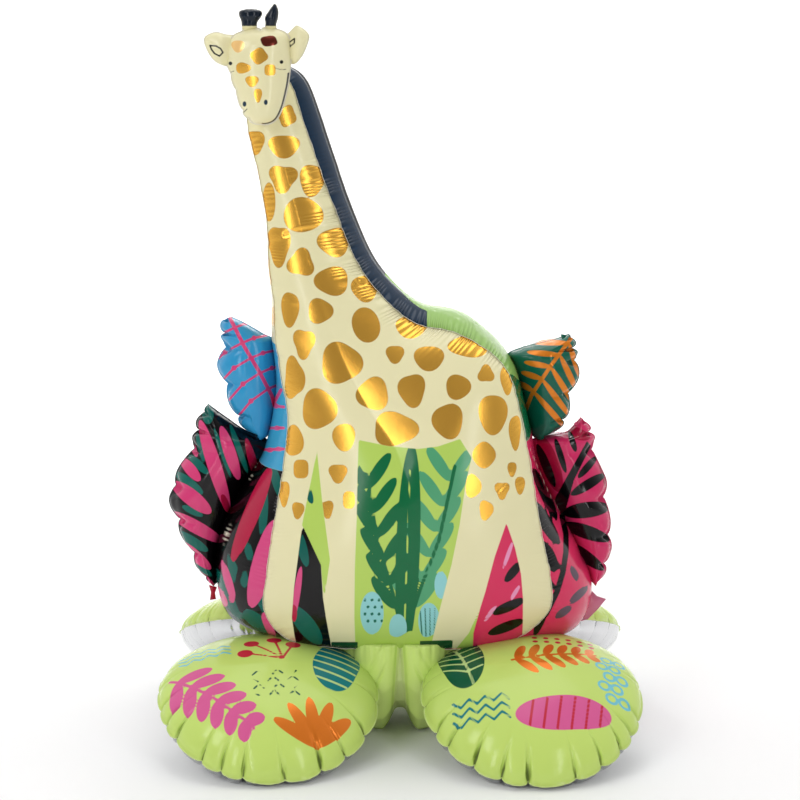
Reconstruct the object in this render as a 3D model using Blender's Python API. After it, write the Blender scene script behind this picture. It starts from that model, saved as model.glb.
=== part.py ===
"""Standing giraffe foil balloon: a gusseted body, a head pillow, four leaf pillows and a four-lobed base.

Units are metres, +Z is up and the giraffe's printed front faces -Y.
The origin is on the floor under the middle of the base.
Each inflated piece is drawn the way its pattern is cut: a left edge, a right edge and a ridge line,
with the half depth at the ridge, the half depth at the weld and the bulge of the side strip.
"""
import math

import bpy
import bmesh
import numpy as np

# Driving dimensions of the body, which stands on the base
BODY_HEIGHT = 1.11
BODY_FLOOR_GAP = 0.187
BODY_HALF_DEPTH = 0.215
BODY_FULLNESS = 0.72

# The neck's back panel is turned to the right, in full above the second of two shares of the height
NECK_TURN = 0.022
NECK_TURN_STARTS = 0.55
NECK_TURN_ENDS = 0.75

# The head is pressed against the front of the neck
HEAD_HEIGHT = 0.184
HEAD_HALF_THICKNESS = 0.036
HEAD_PRESS = 0.006
CHIN_BELOW_NECK_TOP = 0.109
HEAD_LEFT_OF_NECK = 0.027
NECK_END_LENGTH = 0.03

# The leaves stand against the body's side strips, and each lower leaf is pressed by the upper one.
# An upper leaf's foot is at this share of the lower leaf's height.
LOWER_LEAF_FOOT = 0.0894
LOWER_LEAF_HEIGHT = 0.372
UPPER_LEAF_HEIGHT = 0.252
UPPER_LEAF_FOOT_SHARE = 0.79
LEAF_HALF_THICKNESS = 0.05
LEAF_GAP = 0.0012
LEAF_SCALLOP_DEPTH = 0.007
LEAF_SCALLOPS_PER_ROW = 0.75

# The base lobes are discs that rise from the floor towards the middle. Their low rims droop to the
# floor, they are flattened where they rest on it and where they press on each other. Opposite lobes
# are alike: the front left and back right ones are shorter, with their low rims turned inwards.
# The front lobes' high rims dip below the back ones' rims.
LOBE_HALF_WIDTH = 0.214
SHORT_LOBE_HALF_LENGTH = 0.223
LONG_LOBE_HALF_LENGTH = 0.23
SHORT_LOBE_TURN = math.radians(8)
LONG_LOBE_TURN = math.radians(-1)
LOBE_HALF_THICKNESS = 0.088
LOBE_TILT = math.radians(25.5)
LOBE_CENTRE_X = 0.253
LOBE_PRESS = 0.004
LOBE_SINK = 0.014
LOBE_RIM_DROOP = 0.008
FRONT_LOBE_DIP = 0.05
FRONT_LOBE_BEND = 1.3
LOBE_SCALLOPS = 16
LOBE_SCALLOP_DEPTH = 0.005

# The web fills the star-shaped space between the lobes, and a pleat parts its two upright bulges.
# Its levels are shares of its height and of its width there.
WEB_HALF_WIDTH = 0.15
WEB_HALF_DEPTH = 0.165
WEB_FOOT_HEIGHT = 0.042
WEB_INTO_BODY = 0.015
WEB_PLEAT_HALF_WIDTH = 0.016
WEB_PLEAT_DEPTH = 0.014
WEB_LEVELS = ((0.0, 0.5), (0.19, 0.78), (0.5, 0.95), (1.0, 1.0))

# The foil: the half depth at a flat weld, the fullness of a two-panel pillow and the gap where pieces touch
WELD_HALF = 0.0025
PILLOW_FULLNESS = 0.55
TOUCH_GAP = 0.0003

# Patterns, in centimetres at the size each was drafted: left edge x, z, right edge x, z, ridge x, z,
# half depth at the ridge, half depth at the weld, bulge of the left and of the right side strip
BODY_DRAFT_HEIGHT = 111.0
BODY_DRAFT_HALF_DEPTH = 21.5
NECK_DRAFT_HALF_DEPTH = 7.0
BODY_PATTERN = (
    (-25.0, 111.0, -25.0, 111.0, -24.6, 106.0, 6.4, 3.2, 1.0, 1.0),
    (-28.6, 107.5, -21.4, 109.0, -24.6, 106.0, 6.4, 4.4, 0.6, 2.2),
    (-29.4, 100.8, -19.2, 102.8, -24.2, 101.4, 6.6, 4.6, 0.8, 2.6),
    (-27.6, 93.0, -16.4, 94.6, -22.0, 93.4, 6.9, 4.8, 0.9, 2.5),
    (-26.0, 83.8, -13.0, 85.4, -19.6, 84.4, 7.3, 5.0, 0.9, 2.2),
    (-25.4, 75.0, -8.8, 75.4, -17.2, 74.4, 8.2, 5.4, 0.9, 2.4),
    (-24.4, 67.2, -3.6, 68.4, -14.4, 65.6, 10.2, 6.2, 0.9, 2.8),
    (-24.0, 60.0, 2.6, 63.4, -10.6, 56.0, 13.0, 7.4, 1.2, 3.2),
    (-22.9, 53.0, 10.0, 61.8, -6.0, 47.6, 16.0, 8.8, 1.6, 3.2),
    (-21.6, 45.6, 16.4, 58.6, -1.0, 40.4, 18.6, 10.0, 3.4, 2.2),
    (-22.4, 36.6, 20.8, 54.0, 1.0, 35.0, 20.4, 11.4, 4.6, 1.6),
    (-24.0, 26.8, 23.2, 45.8, 1.4, 30.0, 21.3, 13.0, 8.4, 1.6),
    (-25.6, 16.6, 25.2, 35.6, 1.4, 26.0, 21.5, 14.2, 11.0, 1.8),
    (-26.2, 8.0, 27.2, 23.6, 1.4, 22.4, 21.5, 14.6, 9.8, 4.8),
    (-21.6, 2.2, 29.0, 15.0, 1.4, 20.4, 21.5, 14.6, 2.6, 7.2),
    (-11.0, 0.4, 28.6, 7.4, 1.4, 19.6, 21.5, 14.2, 1.4, 9.6),
    (1.0, 0.0, 20.4, 1.2, 1.4, 19.4, 21.5, 13.8, 0.4, 2.6),
    (8.0, 0.0, 8.0, 0.0, 1.4, 19.4, 21.5, 13.8, 0.4, 0.4),
)

HEAD_DRAFT_HEIGHT = 18.4
HEAD_DRAFT_HALF_THICKNESS = 3.6
FACE_PATTERN = (
    (0.0, 18.4, 0.0, 18.4, 0.0, 14.4, 3.5, 0.25, 0.0, 0.0),
    (-4.8, 17.2, 4.6, 17.4, 0.0, 14.0, 3.5, 0.25, 0.0, 0.0),
    (-6.8, 13.6, 5.7, 14.4, -0.1, 11.6, 3.6, 0.25, 0.0, 0.0),
    (-5.9, 9.0, 5.4, 9.6, -0.2, 9.0, 3.4, 0.25, 0.0, 0.0),
    (-4.9, 5.8, 4.8, 6.2, -0.2, 6.4, 3.1, 0.25, 0.0, 0.0),
    (-3.9, 2.6, 3.8, 2.8, -0.1, 4.0, 2.9, 0.25, 0.0, 0.0),
    (-2.4, 0.7, 2.4, 0.7, 0.0, 3.2, 2.8, 0.25, 0.0, 0.0),
    (0.0, 0.0, 0.0, 0.0, 0.0, 3.2, 2.8, 0.25, 0.0, 0.0),
)
LEFT_EAR_PATTERN = (
    (-10.6, 16.4, -10.6, 16.4, -9.6, 15.6, 1.0, 0.2, 0.0, 0.0),
    (-10.4, 14.4, -8.6, 17.4, -8.6, 15.0, 1.5, 0.2, 0.0, 0.0),
    (-8.8, 12.0, -6.6, 17.0, -7.2, 14.4, 1.9, 0.2, 0.0, 0.0),
    (-6.4, 11.0, -4.6, 16.6, -5.4, 13.8, 1.9, 0.2, 0.0, 0.0),
    (-4.2, 11.8, -3.4, 14.4, -4.2, 13.2, 1.0, 0.2, 0.0, 0.0),
    (-3.6, 12.8, -3.6, 12.8, -4.0, 13.0, 0.8, 0.2, 0.0, 0.0),
)
RIGHT_EAR_PATTERN = (
    (8.9, 17.1, 8.9, 17.1, 8.0, 16.4, 0.9, 0.2, 0.0, 0.0),
    (6.8, 18.6, 8.8, 15.4, 7.4, 15.8, 1.3, 0.2, 0.0, 0.0),
    (5.4, 17.6, 7.6, 12.8, 6.4, 14.6, 1.6, 0.2, 0.0, 0.0),
    (4.0, 16.0, 5.8, 11.4, 4.8, 13.6, 1.4, 0.2, 0.0, 0.0),
    (3.2, 13.0, 3.2, 13.0, 4.0, 13.2, 0.8, 0.2, 0.0, 0.0),
)
LEFT_HORN_PATTERN = (
    (-2.0, 21.7, -2.0, 21.7, -2.0, 21.2, 1.3, 0.2, 0.0, 0.0),
    (-3.9, 21.3, 0.0, 21.3, -2.0, 21.0, 1.5, 0.2, 0.0, 0.0),
    (-4.1, 20.4, 0.2, 20.4, -2.0, 20.4, 1.5, 0.2, 0.0, 0.0),
    (-3.7, 19.4, -0.6, 19.2, -2.2, 19.4, 1.2, 0.2, 0.0, 0.0),
    (-3.6, 18.0, -0.8, 18.0, -2.2, 18.0, 1.2, 0.2, 0.0, 0.0),
    (-3.2, 16.6, -1.2, 16.6, -2.2, 16.6, 0.8, 0.2, 0.0, 0.0),
    (-2.2, 16.2, -2.2, 16.2, -2.2, 16.4, 0.7, 0.2, 0.0, 0.0),
)
RIGHT_HORN_PATTERN = (
    (2.6, 22.6, 2.6, 22.6, 2.5, 22.0, 0.5, 0.2, 0.0, 0.0),
    (1.4, 21.2, 3.3, 21.4, 2.4, 21.2, 1.0, 0.2, 0.0, 0.0),
    (0.7, 20.0, 3.2, 19.8, 2.2, 19.9, 1.2, 0.2, 0.0, 0.0),
    (0.8, 19.0, 2.9, 18.8, 1.9, 18.9, 1.0, 0.2, 0.0, 0.0),
    (0.7, 17.6, 2.9, 17.6, 1.8, 17.6, 1.0, 0.2, 0.0, 0.0),
    (1.2, 16.4, 2.4, 16.4, 1.8, 16.6, 0.7, 0.2, 0.0, 0.0),
    (1.8, 16.1, 1.8, 16.1, 1.8, 16.3, 0.6, 0.2, 0.0, 0.0),
)

# Leaves, in centimetres at their drafted heights: height above the leaf's foot, distance of the inner
# and of the outer edge from the body's side line, which counts as upright above the leaf's top weld
UPPER_LEFT_LEAF = ((25.2, 8.4, 8.4), (24.4, 6.6, 10.4), (22.0, 2.4, 10.8), (20.4, 0.0, 10.4),
                   (15.4, 0.0, 11.9), (10.2, 0.0, 10.4), (5.4, 0.0, 8.0), (2.4, 0.0, 5.0), (0.0, 1.4, 1.4))
UPPER_RIGHT_LEAF = ((21.8, 12.0, 12.0), (20.8, 9.4, 13.2), (19.0, 2.4, 13.8), (17.6, 0.0, 13.9),
                    (13.4, 0.0, 12.4), (8.4, 0.0, 9.6), (4.6, 0.0, 8.2), (2.2, 0.0, 5.4), (0.0, 1.8, 1.8))
LOWER_LEFT_LEAF = ((37.2, 11.8, 11.8), (34.8, 8.6, 13.8), (32.0, 4.6, 14.8), (29.6, 0.0, 15.2),
                   (24.8, 0.0, 15.4), (18.8, 0.0, 14.0), (13.8, 0.0, 10.4), (8.6, 0.0, 6.8),
                   (4.0, 0.0, 4.4), (1.2, 0.4, 2.6), (0.0, 1.2, 1.2))
LOWER_RIGHT_LEAF = ((34.5, 9.8, 9.8), (33.4, 8.8, 11.2), (31.6, 7.0, 12.4), (29.8, 0.0, 12.8),
                    (22.6, 0.0, 12.8), (16.4, 0.0, 10.6), (10.6, 0.0, 8.4), (6.0, 0.0, 6.0),
                    (2.4, 0.0, 3.4), (0.0, 1.2, 1.2))
UPPER_LEAF_DRAFT_HEIGHT = 25.2
LOWER_LEAF_DRAFT_HEIGHT = 37.2
LEAF_DRAFT_WIDTH = 16.4

CREAM = (0.78, 0.74, 0.47)
LIME = (0.50, 0.66, 0.14)
BLUE = (0.06, 0.34, 0.58)
DARK_PRINT = (0.10, 0.03, 0.06)
GREEN = (0.01, 0.16, 0.10)
MAGENTA = (0.60, 0.06, 0.18)


def foil(name, colour):
    """Glossy printed foil of one colour."""
    material = bpy.data.materials.new(name)
    material.use_nodes = True
    shader = material.node_tree.nodes["Principled BSDF"]
    shader.inputs["Base Color"].default_value = (*colour, 1.0)
    shader.inputs["Roughness"].default_value = 0.18
    shader.inputs["Metallic"].default_value = 0.0
    material.diffuse_color = (*colour, 1.0)
    return material


def mesh_object(name, vertices, faces, material):
    """A closed mesh object from vertices and faces, merged, triangulated and with its faces outwards."""
    mesh = bpy.data.meshes.new(name)
    mesh.from_pydata([tuple(v) for v in vertices], [], faces)
    work = bmesh.new()
    work.from_mesh(mesh)
    bmesh.ops.remove_doubles(work, verts=work.verts[:], dist=0.00001)
    bmesh.ops.triangulate(work, faces=work.faces[:])
    bmesh.ops.recalc_face_normals(work, faces=work.faces[:])
    work.to_mesh(mesh)
    work.free()
    mesh.shade_smooth()
    mesh.materials.append(material)
    piece = bpy.data.objects.new(name, mesh)
    bpy.context.collection.objects.link(piece)
    return piece


def eased_curve(table, at):
    """Cubic through a table's rows with harmonic-mean slopes, so that it never passes beyond them."""
    step = np.diff(table, axis=0)
    before, after = step[:-1], step[1:]
    same_way = before * after > 0
    total = np.where(same_way, before + after, 1.0)
    slope = np.zeros_like(table)
    slope[1:-1] = np.where(same_way, 2.0 * before * after / total, 0.0)
    slope[0], slope[-1] = step[0], step[-1]
    low = np.clip(np.floor(at).astype(int), 0, len(table) - 2)
    t = (at - low)[:, None]
    rise = table[low + 1] - table[low]
    return (table[low] + t * slope[low]
            + t * t * (3.0 * rise - 2.0 * slope[low] - slope[low + 1])
            + t * t * t * (slope[low] + slope[low + 1] - 2.0 * rise))


def edge_loop(left, right, at):
    """Smooth loop down the left edge and up the right edge, read at the same stations on both."""
    ring = np.vstack([left, right[-2:0:-1]])
    count = len(ring)
    place = np.concatenate([at, count - at[-2:0:-1]])
    start = np.floor(place).astype(int)
    t = (place - start)[:, None]
    a, b, c, d = (ring[(start + offset) % count] for offset in (-1, 0, 1, 2))
    return b + 0.5 * t * (c - a + t * (2 * a - 5 * b + 4 * c - d + t * (3 * (b - c) + d - a)))


def outward(edge):
    """Unit normals of a loop that runs down its left side and up its right side."""
    along = np.roll(edge, -1, axis=0) - np.roll(edge, 1, axis=0)
    normal = np.stack([along[:, 1], -along[:, 0]], axis=1)
    return normal / np.maximum(np.linalg.norm(normal, axis=1, keepdims=True), 1e-9)


def strip_faces(layers, around):
    """Quads between layers of points, each layer a closed ring."""
    faces = []
    for layer in range(layers - 1):
        for i in range(around):
            j = (i + 1) % around
            low, high = layer * around, (layer + 1) * around
            faces.append((low + i, low + j, high + j, high + i))
    return faces


def pillow_layers(edge, spine, ridge, weld, bulge, rings, walls, fullness):
    """Rings of points over an inflated pillow.

    From the ridge line to the weld the half depth falls as (1 - s^2)^fullness of the way, and across
    the side strip the edge moves out by bulge * (1 - w^2)^0.8, with w from -1 at the front to 1.
    """
    normal = outward(edge)
    shares = np.sin(0.5 * np.pi * np.linspace(0.0, 1.0, rings + 1))
    front = []
    for share in shares:
        flat = spine + (edge - spine) * share
        depth = weld + (ridge - weld) * max(0.0, 1.0 - share * share) ** fullness
        front.append(np.stack([flat[:, 0], -depth, flat[:, 1]], axis=1))
    strip = []
    for w in np.linspace(-1.0, 1.0, walls + 1)[1:-1]:
        out = edge + normal * (bulge * (1.0 - w * w) ** 0.8)[:, None]
        strip.append(np.stack([out[:, 0], weld * w, out[:, 1]], axis=1))
    back = [layer * (1.0, -1.0, 1.0) for layer in front[::-1]]
    return front + strip + back


def pattern_layers(pattern, scale, depth_scale, samples, rings, walls, fullness):
    """Pillow layers read from a ten-column pattern in centimetres."""
    rows = np.array(pattern)
    at = np.linspace(0.0, len(rows) - 1.0, samples + 1)
    there_and_back = np.concatenate([at, at[-2:0:-1]])
    edge = edge_loop(rows[:, 0:2], rows[:, 2:4], at) * scale
    spine = eased_curve(rows[:, 4:6], there_and_back) * scale
    depths = eased_curve(rows[:, 6:8], there_and_back) * depth_scale
    left_bulge = eased_curve(rows[:, 8:9], at)[:, 0]
    right_bulge = eased_curve(rows[:, 9:10], at)[-2:0:-1, 0]
    bulge = np.concatenate([left_bulge, right_bulge]) * scale
    return pillow_layers(edge, spine, depths[:, 0], depths[:, 1], bulge, rings, walls, fullness)


def smooth_step(low, high, values):
    """0 below low, 1 above high and a smooth rise between."""
    t = np.clip((values - low) / (high - low), 0.0, 1.0)
    return t * t * (3.0 - 2.0 * t)


def body_layers(samples=34, rings=5, walls=4):
    """The body and neck, standing on the base, with the neck's back panel turned to the right."""
    scale = BODY_HEIGHT / BODY_DRAFT_HEIGHT
    depth_scale = BODY_HALF_DEPTH / BODY_DRAFT_HALF_DEPTH
    layers = pattern_layers(BODY_PATTERN, scale, depth_scale, samples, rings, walls, BODY_FULLNESS)
    neck_half = NECK_DRAFT_HALF_DEPTH * depth_scale
    for layer in layers:
        height_share = layer[:, 2] / BODY_HEIGHT
        turn = NECK_TURN * smooth_step(NECK_TURN_STARTS, NECK_TURN_ENDS, height_share)
        layer[:, 0] += turn * (layer[:, 1] + neck_half) / (2.0 * neck_half)
        layer[:, 2] += BODY_FLOOR_GAP
    return layers


def side_line(layers, side):
    """Heights and distances of the body's side silhouette, from the middle ring of the side strip."""
    middle = layers[len(layers) // 2]
    samples = len(middle) // 2
    chain = middle[1:samples] if side < 0 else middle[samples + 1:]
    chain = chain[np.argsort(chain[:, 2])]
    return chain[:, 2], chain[:, 0]


def leaf_object(name, pattern, scale, foot, side, layers, colour):
    """A leaf pillow whose inner edge follows the body's side line at a small gap."""
    rows = np.array(pattern)
    samples = 2 * (len(rows) - 1)
    at = np.linspace(0.0, len(rows) - 1.0, samples + 1)
    read = eased_curve(rows, at) * scale
    heights = foot + read[:, 0]
    line_z, line_x = side_line(layers, side)
    joined = rows[(rows[:, 1] == 0.0), 0].max() * scale
    base = np.interp(np.minimum(heights, foot + joined), line_z, line_x) + side * LEAF_GAP
    inner = np.stack([base + side * read[:, 1], heights], axis=1)
    ripple = 1.0 - np.abs(np.cos(np.pi * at * LEAF_SCALLOPS_PER_ROW)) ** 0.6
    ripple[0] = ripple[-1] = 0.0
    wide = read[:, 2] - read[:, 1]
    reach = read[:, 2] - LEAF_SCALLOP_DEPTH * ripple * np.minimum(1.0, wide / LEAF_HALF_THICKNESS)
    outer = np.stack([base + side * reach, heights], axis=1)
    left, right = (outer, inner) if side < 0 else (inner, outer)
    edge = np.vstack([left, right[-2:0:-1]])
    middle = 0.5 * (inner + outer)
    spine = np.vstack([middle, middle[-2:0:-1]])
    plump = WELD_HALF + LEAF_HALF_THICKNESS * np.sqrt(np.maximum(wide, 0.0) / (LEAF_DRAFT_WIDTH * scale))
    ridge = np.concatenate([plump, plump[-2:0:-1]])
    weld = np.full(len(edge), WELD_HALF)
    no_bulge = np.zeros(len(edge))
    rings = pillow_layers(edge, spine, ridge, weld, no_bulge, 3, 1, PILLOW_FULLNESS)
    points = np.vstack(rings)
    return mesh_object(name, points, strip_faces(len(rings), len(edge)), foil(name + "_foil", colour))


def lobe_object(name, side_x, side_y, half_length, turn, dip):
    """A scalloped disc pillow with its low rim on the floor and its high rim at the middle of the base."""
    around, rings = 3 * LOBE_SCALLOPS, 4
    angle = np.linspace(0.0, 2.0 * np.pi, around, endpoint=False)
    ripple = LOBE_SCALLOP_DEPTH * (1.0 - np.abs(np.cos(0.5 * LOBE_SCALLOPS * angle)) ** 0.6)
    edge = np.stack([-(LOBE_HALF_WIDTH - ripple) * np.sin(angle),
                     (half_length - ripple) * np.cos(angle)], axis=1)
    centre = np.zeros_like(edge)
    ridge = np.full(around, LOBE_HALF_THICKNESS)
    weld = np.full(around, WELD_HALF)
    layers = pillow_layers(edge, centre, ridge, weld, np.zeros(around), rings, 1, PILLOW_FULLNESS)
    local = np.vstack(layers)
    across, through, up_slope = local[:, 0], local[:, 1], local[:, 2]
    droop = LOBE_RIM_DROOP * np.clip(-up_slope / half_length, 0.0, 1.0) ** 3
    droop = droop + dip * np.clip(up_slope / half_length, 0.0, 1.0) ** FRONT_LOBE_BEND
    run = up_slope * math.cos(LOBE_TILT) + through * math.sin(LOBE_TILT)
    height = up_slope * math.sin(LOBE_TILT) - through * math.cos(LOBE_TILT) - droop
    aside = across * math.cos(turn) + run * math.sin(turn)
    inward = run * math.cos(turn) - across * math.sin(turn)
    reach = half_length * math.cos(LOBE_TILT)
    y = side_y * np.maximum(reach - LOBE_PRESS - inward, 0.5 * TOUCH_GAP)
    z = np.maximum(height - height.min() - LOBE_SINK, 0.0)
    points = np.stack([side_x * (LOBE_CENTRE_X + aside), y, z], axis=1)
    return mesh_object(name, points, strip_faces(len(layers), around), foil(name + "_foil", LIME))


def web_object():
    """The middle of the base: a rounded block between the lobes, wider at the top.

    A level is the superellipse x = W cos(a), y = D sin(a)^0.6, and the pleat takes
    depth * exp(-(x / pleat width)^2) off y on both faces.
    """
    around = 48
    angle = np.linspace(0.0, 2.0 * np.pi, around, endpoint=False)
    height = BODY_FLOOR_GAP + WEB_INTO_BODY - WEB_FOOT_HEIGHT
    layers = []
    for rise, share in WEB_LEVELS:
        x = WEB_HALF_WIDTH * share * np.cos(angle)
        pleat = WEB_PLEAT_DEPTH * np.exp(-(x / WEB_PLEAT_HALF_WIDTH) ** 2)
        y = np.sign(np.sin(angle)) * (WEB_HALF_DEPTH * share * np.abs(np.sin(angle)) ** 0.6 - pleat)
        layers.append(np.stack([x, y, np.full(around, WEB_FOOT_HEIGHT + rise * height)], axis=1))
    points = np.vstack(layers)
    faces = strip_faces(len(layers), around)
    faces.append(tuple(range(around)))
    top = (len(layers) - 1) * around
    faces.append(tuple(range(top, top + around)))
    return mesh_object("base_web", points, faces, foil("base_web_foil", LIME))


def cutter_from(piece, gap):
    """A hidden copy of a piece, grown by the gap, that cuts what touches it."""
    mesh = piece.data.copy()
    work = bmesh.new()
    work.from_mesh(mesh)
    work.normal_update()
    moves = [(v, v.normal * gap * v.calc_shell_factor()) for v in work.verts]
    for vertex, move in moves:
        vertex.co += move
    work.to_mesh(mesh)
    work.free()
    cutter = bpy.data.objects.new("cut_" + piece.name, mesh)
    bpy.context.collection.objects.link(cutter)
    cutter.hide_render = True
    cutter.display_type = "WIRE"
    return cutter


def combine(piece, other, operation):
    """Exact Boolean of another object on a piece."""
    modifier = piece.modifiers.new(operation.lower() + "_" + other.name, "BOOLEAN")
    modifier.operation = operation
    modifier.solver = "EXACT"
    modifier.object = other


def head_object(layers):
    """Face, ears and horns as one pillow in front of the neck's top."""
    scale = HEAD_HEIGHT / HEAD_DRAFT_HEIGHT
    body_points = np.vstack(layers)
    neck_top = body_points[:, 2].max()
    chin = neck_top - CHIN_BELOW_NECK_TOP
    beside = body_points[body_points[:, 2] > chin]
    back_plane = beside[:, 1].min() - TOUCH_GAP
    middle_y = back_plane - HEAD_HALF_THICKNESS + HEAD_PRESS
    thickness = HEAD_HALF_THICKNESS / HEAD_DRAFT_HALF_THICKNESS
    neck_end = body_points[body_points[:, 2] > neck_top - NECK_END_LENGTH]
    centre_x = neck_end[:, 0].mean() - HEAD_LEFT_OF_NECK
    material = foil("giraffe_head_foil", CREAM)
    parts = {"giraffe_head": (FACE_PATTERN, 14, 4), "ear_left": (LEFT_EAR_PATTERN, 7, 2),
             "ear_right": (RIGHT_EAR_PATTERN, 6, 2), "horn_left": (LEFT_HORN_PATTERN, 8, 2),
             "horn_right": (RIGHT_HORN_PATTERN, 8, 2)}
    made = {}
    for name, (pattern, samples, rings) in parts.items():
        shapes = pattern_layers(pattern, scale, thickness, samples, rings, 1, PILLOW_FULLNESS)
        points = np.vstack(shapes) + (centre_x, middle_y, chin)
        points[:, 1] = np.minimum(points[:, 1], back_plane)
        faces = strip_faces(len(shapes), 2 * samples)
        made[name] = mesh_object(name, points, faces, material)
    head = made.pop("giraffe_head")
    for extra in made.values():
        extra.hide_render = True
        extra.display_type = "WIRE"
        combine(head, extra, "UNION")
    return head


def main():
    for old in list(bpy.data.objects):
        bpy.data.objects.remove(old)

    layers = body_layers()
    around = len(layers[0])
    body = mesh_object("giraffe_body", np.vstack(layers), strip_faces(len(layers), around),
                       foil("giraffe_body_foil", CREAM))
    head_object(layers)
    upper_scale = UPPER_LEAF_HEIGHT / UPPER_LEAF_DRAFT_HEIGHT
    lower_scale = LOWER_LEAF_HEIGHT / LOWER_LEAF_DRAFT_HEIGHT
    lower_foot = BODY_FLOOR_GAP + LOWER_LEAF_FOOT
    upper_foot = lower_foot + UPPER_LEAF_FOOT_SHARE * LOWER_LEAF_HEIGHT
    leaves = (("left", -1, UPPER_LEFT_LEAF, BLUE, LOWER_LEFT_LEAF, DARK_PRINT),
              ("right", 1, UPPER_RIGHT_LEAF, GREEN, LOWER_RIGHT_LEAF, MAGENTA))
    for name, side, upper_rows, upper_colour, lower_rows, lower_colour in leaves:
        upper = leaf_object("leaf_upper_" + name, upper_rows, upper_scale, upper_foot, side, layers,
                            upper_colour)
        lower = leaf_object("leaf_lower_" + name, lower_rows, lower_scale, lower_foot, side, layers,
                            lower_colour)
        combine(lower, cutter_from(upper, TOUCH_GAP), "DIFFERENCE")

    body_cutter = cutter_from(body, TOUCH_GAP)
    web = web_object()
    combine(web, body_cutter, "DIFFERENCE")
    for end, side_y, dip in (("front", -1, FRONT_LOBE_DIP), ("back", 1, 0.0)):
        for side, side_x in (("left", -1), ("right", 1)):
            short = side_x == side_y
            half_length = SHORT_LOBE_HALF_LENGTH if short else LONG_LOBE_HALF_LENGTH
            turn = SHORT_LOBE_TURN if short else LONG_LOBE_TURN
            lobe = lobe_object("lobe_%s_%s" % (end, side), side_x, side_y, half_length, turn, dip)
            combine(web, cutter_from(lobe, TOUCH_GAP), "DIFFERENCE")
            combine(lobe, body_cutter, "DIFFERENCE")


main()
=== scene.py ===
"""Looks of the standing giraffe foil balloon, laid out as a Blender add-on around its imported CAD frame.

Each inflated piece repeats its CAD pattern at a fine density, with the weld flanges, the seam puckers
and the printed film. Lengths are metres with +Z up, and the printed front faces -Y. Prints are drawn
on a sheet seen from the front, in pixels of an 800 by 800 picture, column first and row downwards.
"""

import math

import bmesh
import bpy
import numpy as np
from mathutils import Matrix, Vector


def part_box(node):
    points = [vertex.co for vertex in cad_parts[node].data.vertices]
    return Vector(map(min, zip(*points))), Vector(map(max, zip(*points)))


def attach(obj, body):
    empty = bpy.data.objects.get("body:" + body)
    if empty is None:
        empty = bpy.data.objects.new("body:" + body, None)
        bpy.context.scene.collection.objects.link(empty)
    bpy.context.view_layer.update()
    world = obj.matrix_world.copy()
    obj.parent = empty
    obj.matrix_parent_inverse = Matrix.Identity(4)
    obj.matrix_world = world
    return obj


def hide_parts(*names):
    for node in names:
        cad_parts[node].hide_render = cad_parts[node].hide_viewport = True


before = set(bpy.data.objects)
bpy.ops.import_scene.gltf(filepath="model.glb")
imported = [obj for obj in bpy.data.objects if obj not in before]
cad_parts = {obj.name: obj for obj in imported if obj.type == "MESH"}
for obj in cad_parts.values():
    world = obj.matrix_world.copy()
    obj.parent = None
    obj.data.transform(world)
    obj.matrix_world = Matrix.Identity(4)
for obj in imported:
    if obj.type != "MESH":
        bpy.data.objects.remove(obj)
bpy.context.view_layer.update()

bl_info = {
    "name": "Giraffe foil balloon",
    "version": (1, 0, 0),
    "blender": (4, 5, 0),
    "location": "View3D > Sidebar > Balloon",
    "description": "Builds the printed film looks of a standing giraffe foil balloon",
    "category": "Object",
}

# The camera that the sheet and the picture share
EYE_DISTANCE = 4.0
EYE_HEIGHT = 1.39
PITCH = math.radians(10.4)
FOCAL_PIXELS = 2057.0
SHEET_MIDDLE = 400.0
SENSOR = 36.0

# Sizes of the CAD pieces, in metres
BODY_HEIGHT = 1.11
BODY_FLOOR_GAP = 0.187
BODY_HALF_DEPTH = 0.215
BODY_FULLNESS = 0.72
NECK_TURN = 0.022
NECK_TURN_STARTS = 0.55
NECK_TURN_ENDS = 0.75
HEAD_HEIGHT = 0.184
HEAD_HALF_THICKNESS = 0.036
HEAD_PRESS = 0.006
CHIN_BELOW_NECK_TOP = 0.109
LOWER_LEAF_FOOT = 0.0894
LOWER_LEAF_HEIGHT = 0.372
UPPER_LEAF_HEIGHT = 0.252
UPPER_LEAF_FOOT_SHARE = 0.79
LEAF_HALF_THICKNESS = 0.05
LEAF_SINK = 0.004
LEAF_SCALLOPS_PER_ROW = 0.75
LEAF_SCALLOP = 0.012
LOBE_HALF_WIDTH = 0.214
SHORT_LOBE_HALF_LENGTH = 0.223
LONG_LOBE_HALF_LENGTH = 0.23
SHORT_LOBE_TURN = math.radians(8)
LONG_LOBE_TURN = math.radians(-1)
LOBE_HALF_THICKNESS = 0.088
LOBE_TILT = math.radians(25.5)
LOBE_CENTRE_X = 0.253
LOBE_PRESS = 0.004
LOBE_SINK = 0.014
LOBE_RIM_DROOP = 0.008
FRONT_LOBE_DIP = 0.05
FRONT_LOBE_BEND = 1.3
WEB_HALF_WIDTH = 0.15
WEB_HALF_DEPTH = 0.165
WEB_FOOT_HEIGHT = 0.042
WEB_INTO_BODY = 0.015
WEB_LEVELS = ((0.0, 0.5), (0.19, 0.78), (0.5, 0.95), (1.0, 1.0))
WEB_OPENING_RISE = 0.038
CUSHION_MIDDLE = 0.040
CUSHION_HALF_WIDTH = 0.044
CUSHION_DEPTH = 0.022
CUSHION_SINK = 0.012
PLEAT_DEPTH = 0.010
WELD_HALF = 0.0025
PILLOW_FULLNESS = 0.55
TOUCH_GAP = 0.0003
MERGE_DISTANCE = 0.00002
SIDE_LINE_SAMPLES = 340

# A sheet pixel on the film in metres, a centimetre of a lobe's own sheet in pixels, and how far a
# spot's corner reaches out for a sharpness of 1
PIXEL = 0.0019
CENTIMETRE_PIXELS = 5.2
SPOT_CORNER = 1.35

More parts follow.
